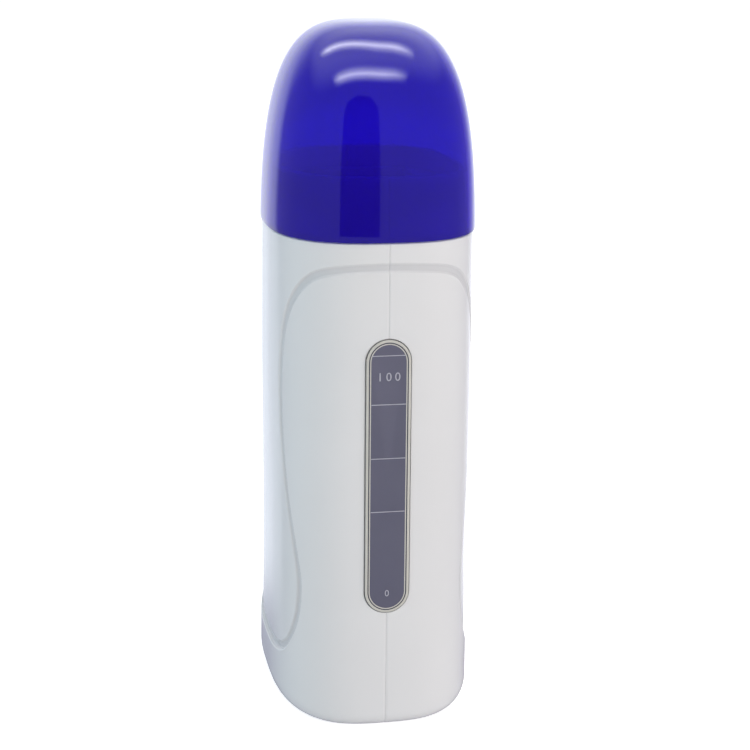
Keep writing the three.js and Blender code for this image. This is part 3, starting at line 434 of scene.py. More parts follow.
def skinInset(turn, z):
    distance = lineDistance(turn, z)
    groove = grooveShare(distance)
    share = z / bodyForm["height"]
    sink = 1 - smooth(share, skinForm["gripDeep"], skinForm["gripTop"])
    outerEdge = skinForm["grooveWidth"] / 2
    within = 1 - smooth(distance, outerEdge - skinForm["grooveSlope"], outerEdge)
    within = np.where(share < skinForm["gripTop"], within, 0)
    toSeam = np.abs(np.mod(turn, 2) - 1) * quarterLength
    seam = np.clip(1 - toSeam / skinForm["seamHalf"], 0, 1) ** skinForm["seamPower"]
    edge = bodyForm["topEdge"]
    rounding = drawnIn(edge, z - (bodyForm["height"] - edge))
    return (groove * skinForm["grooveDepth"] + within * sink * skinForm["gripDepth"]
            + seam * skinForm["seamDepth"] + rounding)


# Columns crowd at the seams; rows crowd at the foot's rounding and at the top edge.
# A row is below 0 on the foot's flat, and then a height. Those of the shoulder, of the neck and
# over the neck's mouth count on from these values:
shoulderRow, neckRow, coverRow = 300, 400, 500


def skinGrid():
    step, foot, edge = skinForm["step"], bodyForm["filletSide"], bodyForm["topEdge"]
    neckTop, neckEdge = bodyForm["neckHeight"], bodyForm["neckEdge"]
    top = bodyForm["height"] - edge
    nearSeam = np.array(skinForm["nearSeam"]) / quarterLength
    plain = np.linspace(nearSeam[-1], 1, int(quarterLength / step))[1:]
    quarter = np.concatenate([nearSeam, plain])  # from a seam to a side's middle
    turns = np.unique(np.round(np.concatenate([1 - quarter, 1 + quarter, 3 - quarter, 3 + quarter]), 9))
    rows = np.concatenate([
        skinForm["flatRows"],
        foot * (1 - np.cos(np.linspace(0, quarterTurn, 12))),
        np.linspace(foot, top, int((top - foot) / step))[1:],
        top + edge * np.sin(np.linspace(0, quarterTurn, 6))[1:],
        shoulderRow + np.linspace(0.3, 1, 4),
        neckRow + np.linspace(0.6, neckTop - neckEdge, 14),
        neckRow + neckTop - neckEdge * (1 - np.sin(np.linspace(0.3, quarterTurn, 5))),
        coverRow + np.array(skinForm["coverRows"])])
    return turns, rows


def skinPoints(turn, row):
    height = bodyForm["height"]
    z = np.clip(row, 0, height)
    x, y = planPoints(turn, sectionAt(z), skinInset(turn, z) + skinForm["facetGap"])
    flat = row < 0
    x, y = np.where(flat, x * (1 + row), x), np.where(flat, y * (1 + row), y)
    shoulder = (row > shoulderRow) & (row <= shoulderRow + 1)
    neckX, neckY = neckPoints(turn, np.full_like(row, height), np.zeros_like(row))
    mix = np.clip(row - shoulderRow, 0, 1)
    x = np.where(shoulder, x + (neckX - x) * mix, x)
    y = np.where(shoulder, y + (neckY - y) * mix, y)
    neck = row > neckRow
    up = np.clip(row - neckRow, 0, bodyForm["neckHeight"])
    neckZ = height + up
    edge = bodyForm["neckEdge"]
    neckX, neckY = neckPoints(turn, neckZ, drawnIn(edge, up - (bodyForm["neckHeight"] - edge)))
    shrink = np.where(row > coverRow, 1 - (row - coverRow), 1)
    x = np.where(neck, neckX * shrink, x)
    y = np.where(neck, neckY * shrink, y)
    z = np.where(neck, neckZ - skinForm["facetGap"], z)
    return np.column_stack([x, y, z]) * mm


# The skin as one closed solid: a grid of turns and rows, finer beside the line, then placed
def skinSolid(name):
    turns, rows = skinGrid()
    columns = len(turns)
    work = bmesh.new()
    grid = [[work.verts.new((turn, row, 0)) for turn in [*turns, turns[0] + 4]] for row in rows]
    for low, high in zip(grid[:-1], grid[1:]):
        for i in range(columns):
            work.faces.new((low[i], low[i + 1], high[i + 1], high[i]))
    middles = np.array([(f.calc_center_median().x, f.calc_center_median().y) for f in work.faces])
    low, below = skinForm["lineRows"]
    near = (middles[:, 1] > low) & (middles[:, 1] < bodyForm["height"] - below)
    distance = np.full(len(middles), np.inf)
    distance[near] = np.abs(lineDistance(middles[near, 0], middles[near, 1]))
    edges = {e for f, d in zip(work.faces, distance) if d < skinForm["nearLine"] for e in f.edges}
    bmesh.ops.subdivide_edges(work, edges=list(edges), cuts=skinForm["cuts"], use_grid_fill=True)
    ends = [sorted((v for v in work.verts if abs(v.co.y - row) < 1e-4), key=lambda v: v.co.x)
            for row in (rows[0], rows[-1])]
    spots = np.array([(v.co.x, v.co.y) for v in work.verts])
    placed = skinPoints(spots[:, 0], spots[:, 1])
    for vert, spot in zip(work.verts, placed):
        vert.co = spot
    for row, under in zip(ends, (True, False)):
        middle = work.verts.new(Vector(np.mean([v.co for v in row], axis=0)))
        for a, b in zip(row[:-1], row[1:]):
            work.faces.new((middle, b, a) if under else (middle, a, b))
    bmesh.ops.remove_doubles(work, verts=work.verts, dist=1e-7)
    mesh = bpy.data.meshes.new(name)
    work.to_mesh(mesh)
    work.free()
    return newObject(name, mesh)


# Rounded outlines at a growth, as points across and up
def roundedOutline(width, height, radius, steps=14):
    def grown(growth):
        w, h, r = width / 2 + growth, height / 2 + growth, radius + growth
        points = []
        for k, (sx, sy) in enumerate(((1, 1), (-1, 1), (-1, -1), (1, -1))):
            for i in range(steps + 1):
                a = (k + i / steps) * quarterTurn
                spot = (sx * (w - r) + r * math.cos(a), sy * (h - r) + r * math.sin(a))
                if not points or math.dist(points[-1], spot) > 1e-6:
                    points.append(spot)
        if math.dist(points[0], points[-1]) < 1e-6:
            points.pop()
        return np.array(points)
    return grown


def circleOutline(diameter, steps):
    return roundedOutline(diameter, diameter, diameter / 2, steps)


# How far the front and rear faces lean from upright
faceLean = math.atan2((bodyForm["depthFoot"] - bodyForm["depthTop"]) / 2, bodyForm["height"])


# A loft on the leaning front face, or on the rear: each level is (outwards, growth)
def faceLoft(name, outline, levels, height, rear=False, across=0.0):
    halfDepth = float(sectionAt(height)[1])
    sign = -1 if rear else 1

    def rule(out, growth):
        u, v = outline(growth).T
        y = -halfDepth + v * math.sin(faceLean) - out * math.cos(faceLean)
        z = height + v * math.cos(faceLean) + out * math.sin(faceLean)
        return sign * (u + across), sign * y, z
    return loft(name, rule, levels)


# An upright loft: each level is (height, growth)
def uprightLoft(name, outline, levels):
    return loft(name, lambda z, growth: (*outline(growth).T, z), levels)


# A loft along +X: each level is (x, growth)
def sideLoft(name, outline, levels, y, z):
    def rule(x, growth):
        u, v = outline(growth).T
        return x, y + u, z + v
    return loft(name, rule, levels)


windowForm = {
    "width": 13.3, "length": 82, "foot": 36.2, "proud": 0.4, "bevel": 0.8, "wall": 1.7,
    "lip": 1.6, "lipFront": -2.4, "lipBack": -3.6, "gap": 0.17, "paneFrom": 36.4,
}
inletForm = {
    "height": 20, "width": 18, "thickness": 10.4, "sunk": 0.3, "depth": 16, "lip": 1.8,
    "lipFront": -2.4, "lipBack": -4.0, "lobe": 7.6, "waist": 0.8, "socket": 12,
    "spacing": 8.6, "pin": 2.4, "recess": 2, "gap": 0.22, "edge": 0.25, "flare": 0.45,
    "flareDepth": 0.5, "flareFoot": 0.02, "socketOut": 2, "boreOver": 1, "boreEnd": 5, "pinRoom": 0.3,
    "pinTip": 0.6, "pinBehind": 0.3, "tagRoom": (20, 24.15, 40), "edgeMiddle": 0.3, "waistRound": 0.01,
}
lensForm = {
    "height": 46, "width": 6, "dome": 1.4, "lip": 1.2, "lipFront": -2.4, "lipBack": -3.6,
    "gap": 0.22, "ring": 0.035, "rings": 16, "firstShare": 0.08, "levels": 26,
    "domeShare": 0.91, "closeShare": 0.985,
}
screwForm = {
    "height": 11, "sideways": 13, "seat": 8, "bore": 5.6, "boreEnd": 40, "shankSides": 40, "headSides": 64,
    "threadSteps": 20, "threadSides": 6, "threadLength": 0.96, "threadFoot": -0.98, "recessLength": 0.62,
    "recessOver": 1.02,
}
windowMiddle = windowForm["foot"] + windowForm["length"] / 2
windowOutline = roundedOutline(windowForm["width"], windowForm["length"], windowForm["width"] / 2, 20)
inletOutline = roundedOutline(inletForm["width"], inletForm["thickness"], inletForm["thickness"] / 2, 16)
lensOutline = circleOutline(lensForm["width"], 12)


# Holes of the outer band, fine enough for a smooth edge
def openingTools():
    tools = []
    for name, outline, form, height, rear in (
            ("windowHole", windowOutline, windowForm, windowMiddle, False),
            ("inletHole", inletOutline, inletForm, inletForm["height"], True),
            ("lensHole", lensOutline, lensForm, lensForm["height"], True)):
        levels = [(out, form["gap"]) for out in skinForm["holeReach"]]
        tools.append(faceLoft(name, outline, levels, height, rear))
    bore = circleOutline(screwForm["bore"], 10)
    levels = [(screwForm["seat"], 0), (screwForm["boreEnd"], 0)]
    for side in (-1, 1):
        tools.append(sideLoft("screwBore", bore, levels, side * screwForm["sideways"], screwForm["height"]))
    return tools


# Marks the groove's floor on a finished shell, for its duller finish and its painted shade
def markGrooveDullAndShade(thing):
    mesh = thing.data
    spots = np.empty(len(mesh.vertices) * 3)
    mesh.vertices.foreach_get("co", spots)
    x, y, z = spots.reshape(-1, 3).T / mm
    halfWidth, halfDepth, power = sectionAt(z)
    shareX, shareY = np.abs(x) / halfWidth, np.abs(y) / halfDepth
    low, below = skinForm["markRows"]
    skin = (z > low) & (z < bodyForm["height"] - below)
    skin &= shareX ** power + shareY ** power > skinForm["markShare"]
    angle = np.arctan2(shareY ** (power / 2), shareX ** (power / 2))
    turn = np.interp(angle, tableAngles, tableLengths) / quarterLength
    marks = np.zeros(len(x))
    marks[skin] = grooveShare(lineDistance(turn[skin], z[skin]))
    mesh.attributes.new("groove", "FLOAT", "POINT").data.foreach_set("value", marks)


# The outer band, from outside the fine skin to within the CAD's wall: insets and heights in mm
bandForm = {
    "out": 1.2, "over": 1, "depth": 1.75, "rows": (1.75, 2.4, 3.2, 4.2, 5.4, 7, 40, 80, 120, 142.3),
    "neckOut": -0.5, "neckOutRows": (143.4, 150, 158, 165),
    "neckIn": 0.9, "neckInRows": (142, 150, 158, 166), "mouthTop": 166,
}


# The visible shells: the CAD's insides, and the outer band trimmed by the fine skin
def makeShells():
    form, top, beyondSide = bandForm, bodyForm["height"], beyond["side"]
    skin = skinSolid("skin")
    band = bodyLoft("band", [("body", bodyForm["filletSide"], -form["out"], -form["over"]),
                             ("body", top, -form["out"], top + form["over"])])
    inside = bodyLoft("bandInside", [("body", z, form["depth"]) for z in form["rows"]])
    combine(band, inside, "DIFFERENCE")
    neckOut = bodyLoft("neckOut", [("neck", z, form["neckOut"]) for z in form["neckOutRows"]])
    neckIn = bodyLoft("neckIn", [("neck", z, form["neckIn"]) for z in form["neckInRows"]])
    combine(band, neckOut, "UNION")
    combine(band, neckIn, "DIFFERENCE")
    for tool in openingTools():
        combine(band, tool, "DIFFERENCE")
    mouthRows = np.linspace(bodyForm["deckTop"], form["mouthTop"], 5)
    mouth = bodyLoft("mouth", [("neck", z, bodyForm["neckWall"]) for z in mouthRows])
    for node, side in (("left_shell", -1), ("right_shell", 1)):
        half = copyOf("bandHalf", band)
        near, far = sorted((side * skinForm["seamGap"] / 2, side * beyondSide))
        room = boxPiece("halfRoom", (near, -beyondSide, beyond["below"]), (far, beyondSide, beyond["above"]))
        combine(half, room, "INTERSECT")
        shell = mergedNode(node + "_skin", node)
        combine(shell, half, "UNION")
        combine(shell, copyOf("skinTool", skin), "INTERSECT")
        combine(shell, copyOf("mouthTool", mouth), "DIFFERENCE")
        markGrooveDullAndShade(shell)
        finishPiece(shell, "whiteAbs", 60)
        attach(shell, "housing")
        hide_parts(node)
        print(node, "skin:", len(shell.data.polygons), "faces")
    for spare in (skin, band, mouth):
        bpy.data.objects.remove(spare)


makeShells()


# An empty Geometry Nodes tree with named inputs, whose kinds follow their values
def nodeGroup(name, inputs):
    tree = bpy.data.node_groups.new(name, "GeometryNodeTree")
    kinds = {float: "NodeSocketFloat", int: "NodeSocketInt"}
    for label, value in inputs.items():
        kind = kinds.get(type(value), "NodeSocket" + label)
        socket = tree.interface.new_socket(label, in_out="INPUT", socket_type=kind)
        if value is not None:
            socket.default_value = value
    tree.interface.new_socket("Geometry", in_out="OUTPUT", socket_type="NodeSocketGeometry")
    return tree, addNode(tree, "NodeGroupInput").outputs


# A grown piece ends as real geometry with its finish
def finishGroup(tree, given, geometry):
    real = addNode(tree, "GeometryNodeRealizeInstances", None, {"Geometry": geometry})
    painted = addNode(tree, "GeometryNodeSetMaterial", None, {
        "Geometry": real.outputs[0], "Material": given["Material"]})
    addNode(tree, "NodeGroupOutput", None, {"Geometry": painted.outputs[0]})
    return tree


# Runs a tree on a mesh with its inputs set by their identifiers, and keeps the result
def growFrom(name, tree, values, mesh=None):
    thing = newObject(name, mesh or bpy.data.meshes.new(name))
    grower = thing.modifiers.new("grow", "NODES")
    grower.node_group = tree
    places = {item.name: item.identifier for item in tree.interface.items_tree
              if item.item_type == "SOCKET" and item.in_out == "INPUT"}
    for label, value in values.items():
        grower[places[label]] = value
    return settle(thing)


# The cap: one dome rule, used for its outside and again for its inside
domeInputs = {
    "Half Width": 0.03, "Half Depth": 0.036, "Plan Power": 2.66, "Dome Power": 3.32, "Top": 0.205,
    "Reach": 0.0795, "Shoulder": 0.1455, "Foot": 0.1458, "Columns": 160, "Rows": 72,
}


def signedPower(base, power):
    return "MULTIPLY", ("SIGN", base), ("POWER", ("ABSOLUTE", base), power)


def domeGroup():
    tree, given = nodeGroup("dome surface", {**domeInputs, "Inset": 0.0})
    plan = ("DIVIDE", 2.0, given["Plan Power"])
    rising = ("DIVIDE", 2.0, given["Dome Power"])
    grid = addNode(tree, "GeometryNodeMeshGrid", None, {
        "Size X": 1.0, "Size Y": 1.0,
        "Vertices X": ("ADD", given["Columns"], 1.0), "Vertices Y": ("ADD", given["Rows"], 1.0)})
    place = addNode(tree, "GeometryNodeInputPosition")
    spread = addNode(tree, "ShaderNodeSeparateXYZ", None, {"Vector": place.outputs[0]}).outputs
    around = ("MULTIPLY", ("ADD", spread["X"], 0.5), 2 * math.pi)
    upward = ("ADD", spread["Y"], 0.5)
    cosine, sine = ("COSINE", around), ("SINE", around)
    flat = addNode(tree, "ShaderNodeCombineXYZ", None, {
        "X": ("MULTIPLY", signedPower(cosine, plan), given["Half Width"]),
        "Y": ("MULTIPLY", signedPower(sine, plan), given["Half Depth"])})
    # the plan's outward direction, for the inset
    steep = ("SUBTRACT", 2.0, plan)
    outward = addNode(tree, "ShaderNodeCombineXYZ", None, {
        "X": ("DIVIDE", signedPower(cosine, steep), given["Half Width"]),
        "Y": ("DIVIDE", signedPower(sine, steep), given["Half Depth"])})
    unit = addNode(tree, "ShaderNodeVectorMath", {"operation": "NORMALIZE"}, {0: outward.outputs[0]})
    shift = addNode(tree, "ShaderNodeVectorMath", {"operation": "SCALE"}, {
        0: unit.outputs[0], "Scale": ("MULTIPLY", given["Inset"], -1.0)})
    inset = addNode(tree, "ShaderNodeVectorMath", {"operation": "ADD"}, {
        0: flat.outputs[0], 1: shift.outputs[0]})
    # the rise starts where the foot cuts the dome
    base = ("SUBTRACT", given["Top"], given["Reach"])
    start = ("DIVIDE", ("SUBTRACT", given["Foot"], base), given["Reach"])
    first = ("ARCSINE", ("POWER", start, ("DIVIDE", 1.0, rising)))
    angle = ("ADD", first, ("MULTIPLY", ("SUBTRACT", quarterTurn, first), upward))
    rise = ("POWER", ("SINE", angle), rising)
    closing = ("POWER", ("MAXIMUM", ("COSINE", angle), 0.0), rising)
    # the plan keeps its whole size at the body's shoulder
    level = ("DIVIDE", ("SUBTRACT", given["Shoulder"], base), given["Reach"])
    sunk = ("SUBTRACT", 1.0, ("POWER", level, given["Dome Power"]))
    whole = ("POWER", sunk, ("DIVIDE", 1.0, given["Dome Power"]))
    scaled = addNode(tree, "ShaderNodeVectorMath", {"operation": "SCALE"}, {
        0: inset.outputs[0], "Scale": ("DIVIDE", closing, whole)})
    height = addNode(tree, "ShaderNodeCombineXYZ", None, {
        "Z": ("ADD", base, ("MULTIPLY", rise, given["Reach"]))})
    lifted = addNode(tree, "ShaderNodeVectorMath", {"operation": "ADD"}, {
        0: scaled.outputs[0], 1: height.outputs[0]})
    placed = addNode(tree, "GeometryNodeSetPosition", None, {
        "Geometry": grid.outputs["Mesh"], "Position": lifted.outputs[0]})
    merged = addNode(tree, "GeometryNodeMergeByDistance", None, {
        "Geometry": placed.outputs["Geometry"], "Distance": 1e-6})
    addNode(tree, "NodeGroupOutput", None, {"Geometry": merged.outputs["Geometry"]})
    return tree


# Outside, and inside turned over
def capGroup(dome):
    tree, given = nodeGroup("cap", {**domeInputs, "Proud": 0.0006, "Wall": 0.0018, "Material": None})
    shared = {key: given[key] for key in domeInputs}

    def surface(inset, top, reach):
        links = {**shared, "Inset": inset, "Top": top, "Reach": reach}
        return addNode(tree, "GeometryNodeGroup", {"node_tree": dome}, links).outputs["Geometry"]

    outside = surface(("MULTIPLY", given["Proud"], -1.0), given["Top"], given["Reach"])
    inside = surface(("SUBTRACT", given["Wall"], given["Proud"]),
                     ("SUBTRACT", given["Top"], given["Wall"]),
                     ("SUBTRACT", given["Reach"], given["Wall"]))
    turned = addNode(tree, "GeometryNodeFlipFaces", None, {"Mesh": inside})
    both = addNode(tree, "GeometryNodeJoinGeometry")
    for made in (turned.outputs[0], outside):
        tree.links.new(made, both.inputs[0])
    return finishGroup(tree, given, both.outputs[0])


# Bridges the two surfaces at the foot and rounds the rim's corners
def closeRim(work):
    bmesh.ops.bridge_loops(work, edges=[e for e in work.edges if e.is_boundary])
    foot = domeForm["foot"] * mm
    corners = [e for e in work.edges if all(abs(v.co.z - foot) < 1e-6 for v in e.verts)
               and len({round(f.normal.z) for f in e.link_faces}) == 2]
    bmesh.ops.bevel(work, geom=corners, offset=domeForm["rimRound"] * mm, segments=3, profile=0.5,
                    affect="EDGES")
    bmesh.ops.recalc_face_normals(work, faces=work.faces)


def makeCap():
    halfWidth, halfDepth, power = (float(v) for v in sectionAt(bodyForm["height"]))
    cap = growFrom("cap_dome", capGroup(domeGroup()), {
        "Half Width": halfWidth * mm, "Half Depth": halfDepth * mm, "Plan Power": power,
        "Proud": domeForm["proud"] * mm, "Wall": domeForm["wall"] * mm,
        "Dome Power": 2 / (1 - domeForm["square"]), "Top": domeForm["top"] * mm,
        "Reach": domeForm["reach"] * mm, "Shoulder": bodyForm["height"] * mm,
        "Foot": domeForm["foot"] * mm, "Columns": domeForm["columns"], "Rows": domeForm["rows"],
        "Material": materials["bluePolystyrene"]})
    editMesh(cap.data, closeRim)
    finishPiece(cap, "bluePolystyrene", 60)
    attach(cap, "cap")
    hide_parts("cap")
    print("cap:", len(cap.data.polygons), "faces")


makeCap()


# Smooth shading, a finish, the housing's body and the CAD node that a piece stands for
def placePiece(thing, look, node, sharpDegrees=32):
    finishPiece(thing, look, sharpDegrees)
    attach(thing, "housing")
    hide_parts(node)


# Level window: a clear cup, its face painted in zones: a pale strip of painted light where its wall is seen
# edgewise, between fine lines of painted shade, and a pane painted with the shade of the dim chamber behind
# it. Each zone ends at its inset.
windowPaintedZones = [
    (0.1, "clearEdgePaintedShade"), (0.85, "clearRimPaintedLight"), (1.2, "clearEdgePaintedShade"), (1.5, "clearRimPaintedLight"), (4.6, "clearPanePaintedShade"),
]


def makeWindow():
    form = windowForm
    bevel = [(form["proud"] * math.sin(a), -form["bevel"] * (1 - math.cos(a)))
             for a in np.linspace(0, quarterTurn, 9)]
    back = [
        (form["proud"] - form["wall"], -form["wall"]), (form["lipBack"], -form["wall"]),
        (form["lipBack"], form["lip"]), (form["lipFront"], form["lip"]), (form["lipFront"], 0)]
    face = [(form["proud"], -inset) for inset, _ in windowPaintedZones if inset > form["bevel"]]
    pane = faceLoft("level_window_pane", windowOutline, back + bevel + face, windowMiddle)
    placePiece(pane, "clearRimPaintedLight", "level_window", 50)
    mesh = pane.data
    names = list(dict.fromkeys(name for _, name in windowPaintedZones))
    mesh.materials.clear()
    for name in names:
        mesh.materials.append(materials[name])
    # the rings' faces come level by level, and those that close the two ends come last
    count = len(windowOutline(0))
    insets = [-growth for _, growth in bevel + face]
    for polygon in mesh.polygons:
        level = polygon.index // count - len(back)
        if level >= len(insets) - 1:
            level = len(insets) - 1 if polygon.center.y < -form["paneFrom"] * mm else -1
        look = "clearRimPaintedLight"
        if level >= 0:
            look = next((name for inset, name in windowPaintedZones if insets[level] < inset - 1e-6), "clearPanePaintedShade")
        polygon.material_index = names.index(look)
    print("window:", len(mesh.polygons), "faces")


# Graduation: one bar on each point of a mesh of places
def markGroup():
    tree, given = nodeGroup("scale marks", {
        "Geometry": None, "Length": 0.0096, "Height": 0.0003, "Thickness": 0.00004, "Lean": 0.03,
        "Material": None})
    size = addNode(tree, "ShaderNodeCombineXYZ", None, {
        "X": given["Length"], "Y": given["Thickness"], "Z": given["Height"]})
    bar = addNode(tree, "GeometryNodeMeshCube", None, {"Size": size.outputs[0], "Vertices X": 12})
    turn = addNode(tree, "ShaderNodeCombineXYZ", None, {"X": given["Lean"]})
    bars = addNode(tree, "GeometryNodeInstanceOnPoints", None, {
        "Points": given["Geometry"], "Instance": bar.outputs["Mesh"], "Rotation": turn.outputs[0]})
    return finishGroup(tree, given, bars.outputs[0])


# Lengths in mm; each number has its digits, its height on the body and its own height
scaleForm = {
    "marks": (113.5, 99.2, 83.2, 67.2), "length": 10.0, "height": 0.24, "ink": 0.05, "spacing": 1.48,
    "capShare": 0.69, "numbers": {"top_number": ("100", 107.2, 2.4), "foot_number": ("0", 42.2, 1.9)},
}


# A point on the window's face at a height
def facePoint(z):
    halfDepth = float(sectionAt(windowMiddle)[1])
    up = (z - windowMiddle) / math.cos(faceLean)
    y = -halfDepth + up * math.sin(faceLean) - windowForm["proud"] * math.cos(faceLean)
    return 0, y * mm, z * mm


def makeScale():
    form = scaleForm
    marks = growFrom("scale_marks", markGroup(), {
        "Length": form["length"] * mm, "Height": form["height"] * mm, "Thickness": form["ink"] * mm,
        "Lean": -faceLean, "Material": materials["scaleInk"],
    }, meshFrom("scale_marks", [facePoint(z) for z in form["marks"]], []))
    made = [marks]
    for name, (digits, z, tall) in form["numbers"].items():
        curve = bpy.data.curves.new("digits", "FONT")
        curve.body = digits
        curve.align_x, curve.align_y = "CENTER", "CENTER"
        curve.size = tall * mm / form["capShare"]
        curve.space_character = form["spacing"]
        curve.extrude = form["ink"] / 2 * mm
        curve.resolution_u = 6
        drawn = newObject("digits", curve)
        bpy.context.view_layer.update()
        graph = bpy.context.evaluated_depsgraph_get()
        mesh = bpy.data.meshes.new_from_object(drawn.evaluated_get(graph))
        bpy.data.objects.remove(drawn)
        turn = Matrix.Rotation(quarterTurn - faceLean, 4, "X")
        mesh.transform(Matrix.Translation(facePoint(z)) @ turn)
        made.append(finishPiece(newObject("scale_" + name, mesh), "scaleInk", 30))
    for piece in made:
        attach(piece, "housing")
    print("scale marks and numbers made")


makeWindow()
makeScale()


# Cartridge chamber: tube with a floor, hung by its deck inside the neck
chamberForm = {
    "width": 35, "depth": 56, "corner": 3, "wall": 1.4, "floor": 28.4, "footRound": 0.4,
    "floorRound": 1.2, "floorStep": 0.35, "deckFoot": 155.3, "deckInset": 2.1,
    "deckLap": 0.5, "edge": 0.35, "mouth": 0.7, "mouthFoot": 0.3, "mouthStep": 0.2, "slot": 9.7,
    "plateDepth": 50, "plateFoot": 36, "plateLength": 84, "rim": 4.2, "plateCorner": 2,
    "sheet": 1.2, "gap": 0.3, "mouthOver": 0.01,
}


def makeChamber():
    form = chamberForm
    wall, floor, deckTop = form["wall"], form["floor"], bodyForm["deckTop"]
    wide, deep = form["width"] + 2 * wall, form["depth"] + 2 * wall
    tube = uprightLoft("chamber", roundedOutline(wide, deep, form["corner"] + wall), [
        (floor - wall, -form["footRound"]), (floor - wall + form["footRound"], 0),
        (form["deckFoot"] + form["deckLap"], 0)])
    deck = bodyLoft("deck", [
        ("neck", form["deckFoot"], form["deckInset"]),
        ("neck", deckTop - form["edge"], form["deckInset"]),
        ("neck", deckTop, form["deckInset"] + form["edge"])], 60)
    combine(tube, deck, "UNION")
    shelfTop = form["plateFoot"] - form["gap"]
    reach = wide / 2 + form["gap"] + form["sheet"]
    shelf = boxPiece("shelf", (-reach, -form["plateDepth"] / 2, shelfTop - wall),
                     (reach, form["plateDepth"] / 2, shelfTop))
    combine(tube, shelf, "UNION")
    room = uprightLoft("room", roundedOutline(form["width"], form["depth"], form["corner"]), [
        (floor, -form["floorRound"]), (floor + form["floorStep"], -form["floorStep"]),
        (floor + form["floorRound"], 0), (deckTop - form["mouth"], 0),
        (deckTop - form["mouth"] * form["mouthFoot"], form["mouthStep"]),
        (deckTop + form["mouthOver"], form["mouth"]), (beyond["above"], form["mouth"])])
    combine(tube, room, "DIFFERENCE")
    slotShape = roundedOutline(form["slot"], windowForm["length"] - 2 * windowForm["wall"],
                               form["slot"] / 2 - form["gap"], 12)

    def slotRule(y, growth):
        u, v = slotShape(growth).T
        return u, -y, v + windowMiddle

    slot = loft("slot", slotRule, [(0, 0), (beyond["front"], 0)])
    editMesh(slot.data, lambda work: bmesh.ops.recalc_face_normals(work, faces=work.faces))
    combine(tube, slot, "DIFFERENCE")
    padDepth, padLength = (form[key] - 2 * form["rim"] + 2 * form["gap"]
                           for key in ("plateDepth", "plateLength"))
    shape = roundedOutline(padDepth, padLength, form["plateCorner"] + form["gap"], 8)
    middle, past = form["plateFoot"] + form["plateLength"] / 2, beyond["plates"]
    plateRoom = sideLoft("plateRoom", shape, [(-past, 0), (past, 0)], 0, middle)
    combine(tube, plateRoom, "DIFFERENCE")
    placePiece(tube, "paleHeatPlastic", "chamber_frame", 35)
    print("chamber:", len(tube.data.polygons), "faces")


makeChamber()


# Mains inlet with its two pins
def makeInlet():
    form = inletForm
    height, depth, sunk, edge = form["height"], form["depth"], form["sunk"], form["edge"]
    edgeMiddle = edge * form["edgeMiddle"]
    body = faceLoft("inlet_body", inletOutline, [
        (-depth, 0), (form["lipBack"], 0), (form["lipBack"], form["lip"]),
        (form["lipFront"], form["lip"]), (form["lipFront"], 0), (-sunk - edge, 0),
        (-sunk - edgeMiddle, -edgeMiddle), (-sunk, -edge)], height, True)
    lobe = circleOutline(form["lobe"], 14)
    bore = circleOutline(form["pin"] + 2 * form["pinRoom"], 8)
    waist = roundedOutline(form["spacing"], form["lobe"] * form["waist"], form["waistRound"], 2)
    socket = [(-form["socket"], 0), (-sunk - form["flareDepth"], 0),
              (-sunk + form["flareFoot"], form["flare"]), (form["socketOut"], form["flare"])]
    for side in (-1, 1):
        shift = side * form["spacing"] / 2
        combine(body, faceLoft("lobe", lobe, socket, height, True, shift), "DIFFERENCE")
        hole = [(-depth - form["boreOver"], 0), (-form["boreEnd"], 0)]
        combine(body, faceLoft("pinBore", bore, hole, height, True, shift), "DIFFERENCE")
    combine(body, faceLoft("waist", waist, socket, height, True), "DIFFERENCE")
    placePiece(body, "blackPolyamide", "inlet_housing", 35)
    pinShape, tipRound = circleOutline(form["pin"], 8), form["pinTip"]
    x, y, z = form["tagRoom"]
    for side, node in ((1, "inlet_live_pin"), (-1, "inlet_neutral_pin")):
        tip = [(-form["recess"] - tipRound * (1 - math.sin(a)), -tipRound * (1 - math.cos(a)))
               for a in np.linspace(0, quarterTurn, 6)]
        pin = faceLoft(node + "_round", pinShape, [(-depth - form["pinBehind"], 0), *tip], height, True,
                       side * form["spacing"] / 2)
        # the CAD's tag behind the inlet, without its plain pin
        tag = mergedNode("tag", node)
        combine(tag, boxPiece("tagRoom", (-x, 0, 0), (x, y, z)), "INTERSECT")
        combine(pin, tag, "UNION")
        placePiece(pin, "turnedBrass", node, 35)
    print("inlet:", len(body.data.polygons), "faces")


# Pilot lens: a domed cover with rings moulded on its face
def makeLens():
    form = lensForm
    lipFront, ring = form["lipFront"], form["ring"]
    levels = [(form["lipBack"], form["lip"]), (lipFront, form["lip"]), (lipFront, 0), (0, 0)]
    for share in np.linspace(form["firstShare"], 1, form["levels"]):
        a = share * quarterTurn
        out = form["dome"] * math.sin(a) * form["domeShare"] + ring * math.cos(a * form["rings"]) - ring
        levels.append((out, -form["width"] / 2 * (1 - math.cos(a)) * form["closeShare"]))
    lens = faceLoft("pilot_lens_dome", lensOutline, levels, form["height"], True)
    placePiece(lens, "redAcrylic", "pilot_lens", 50)
    print("lens:", len(lens.data.polygons), "faces")


makeInlet()
makeLens()


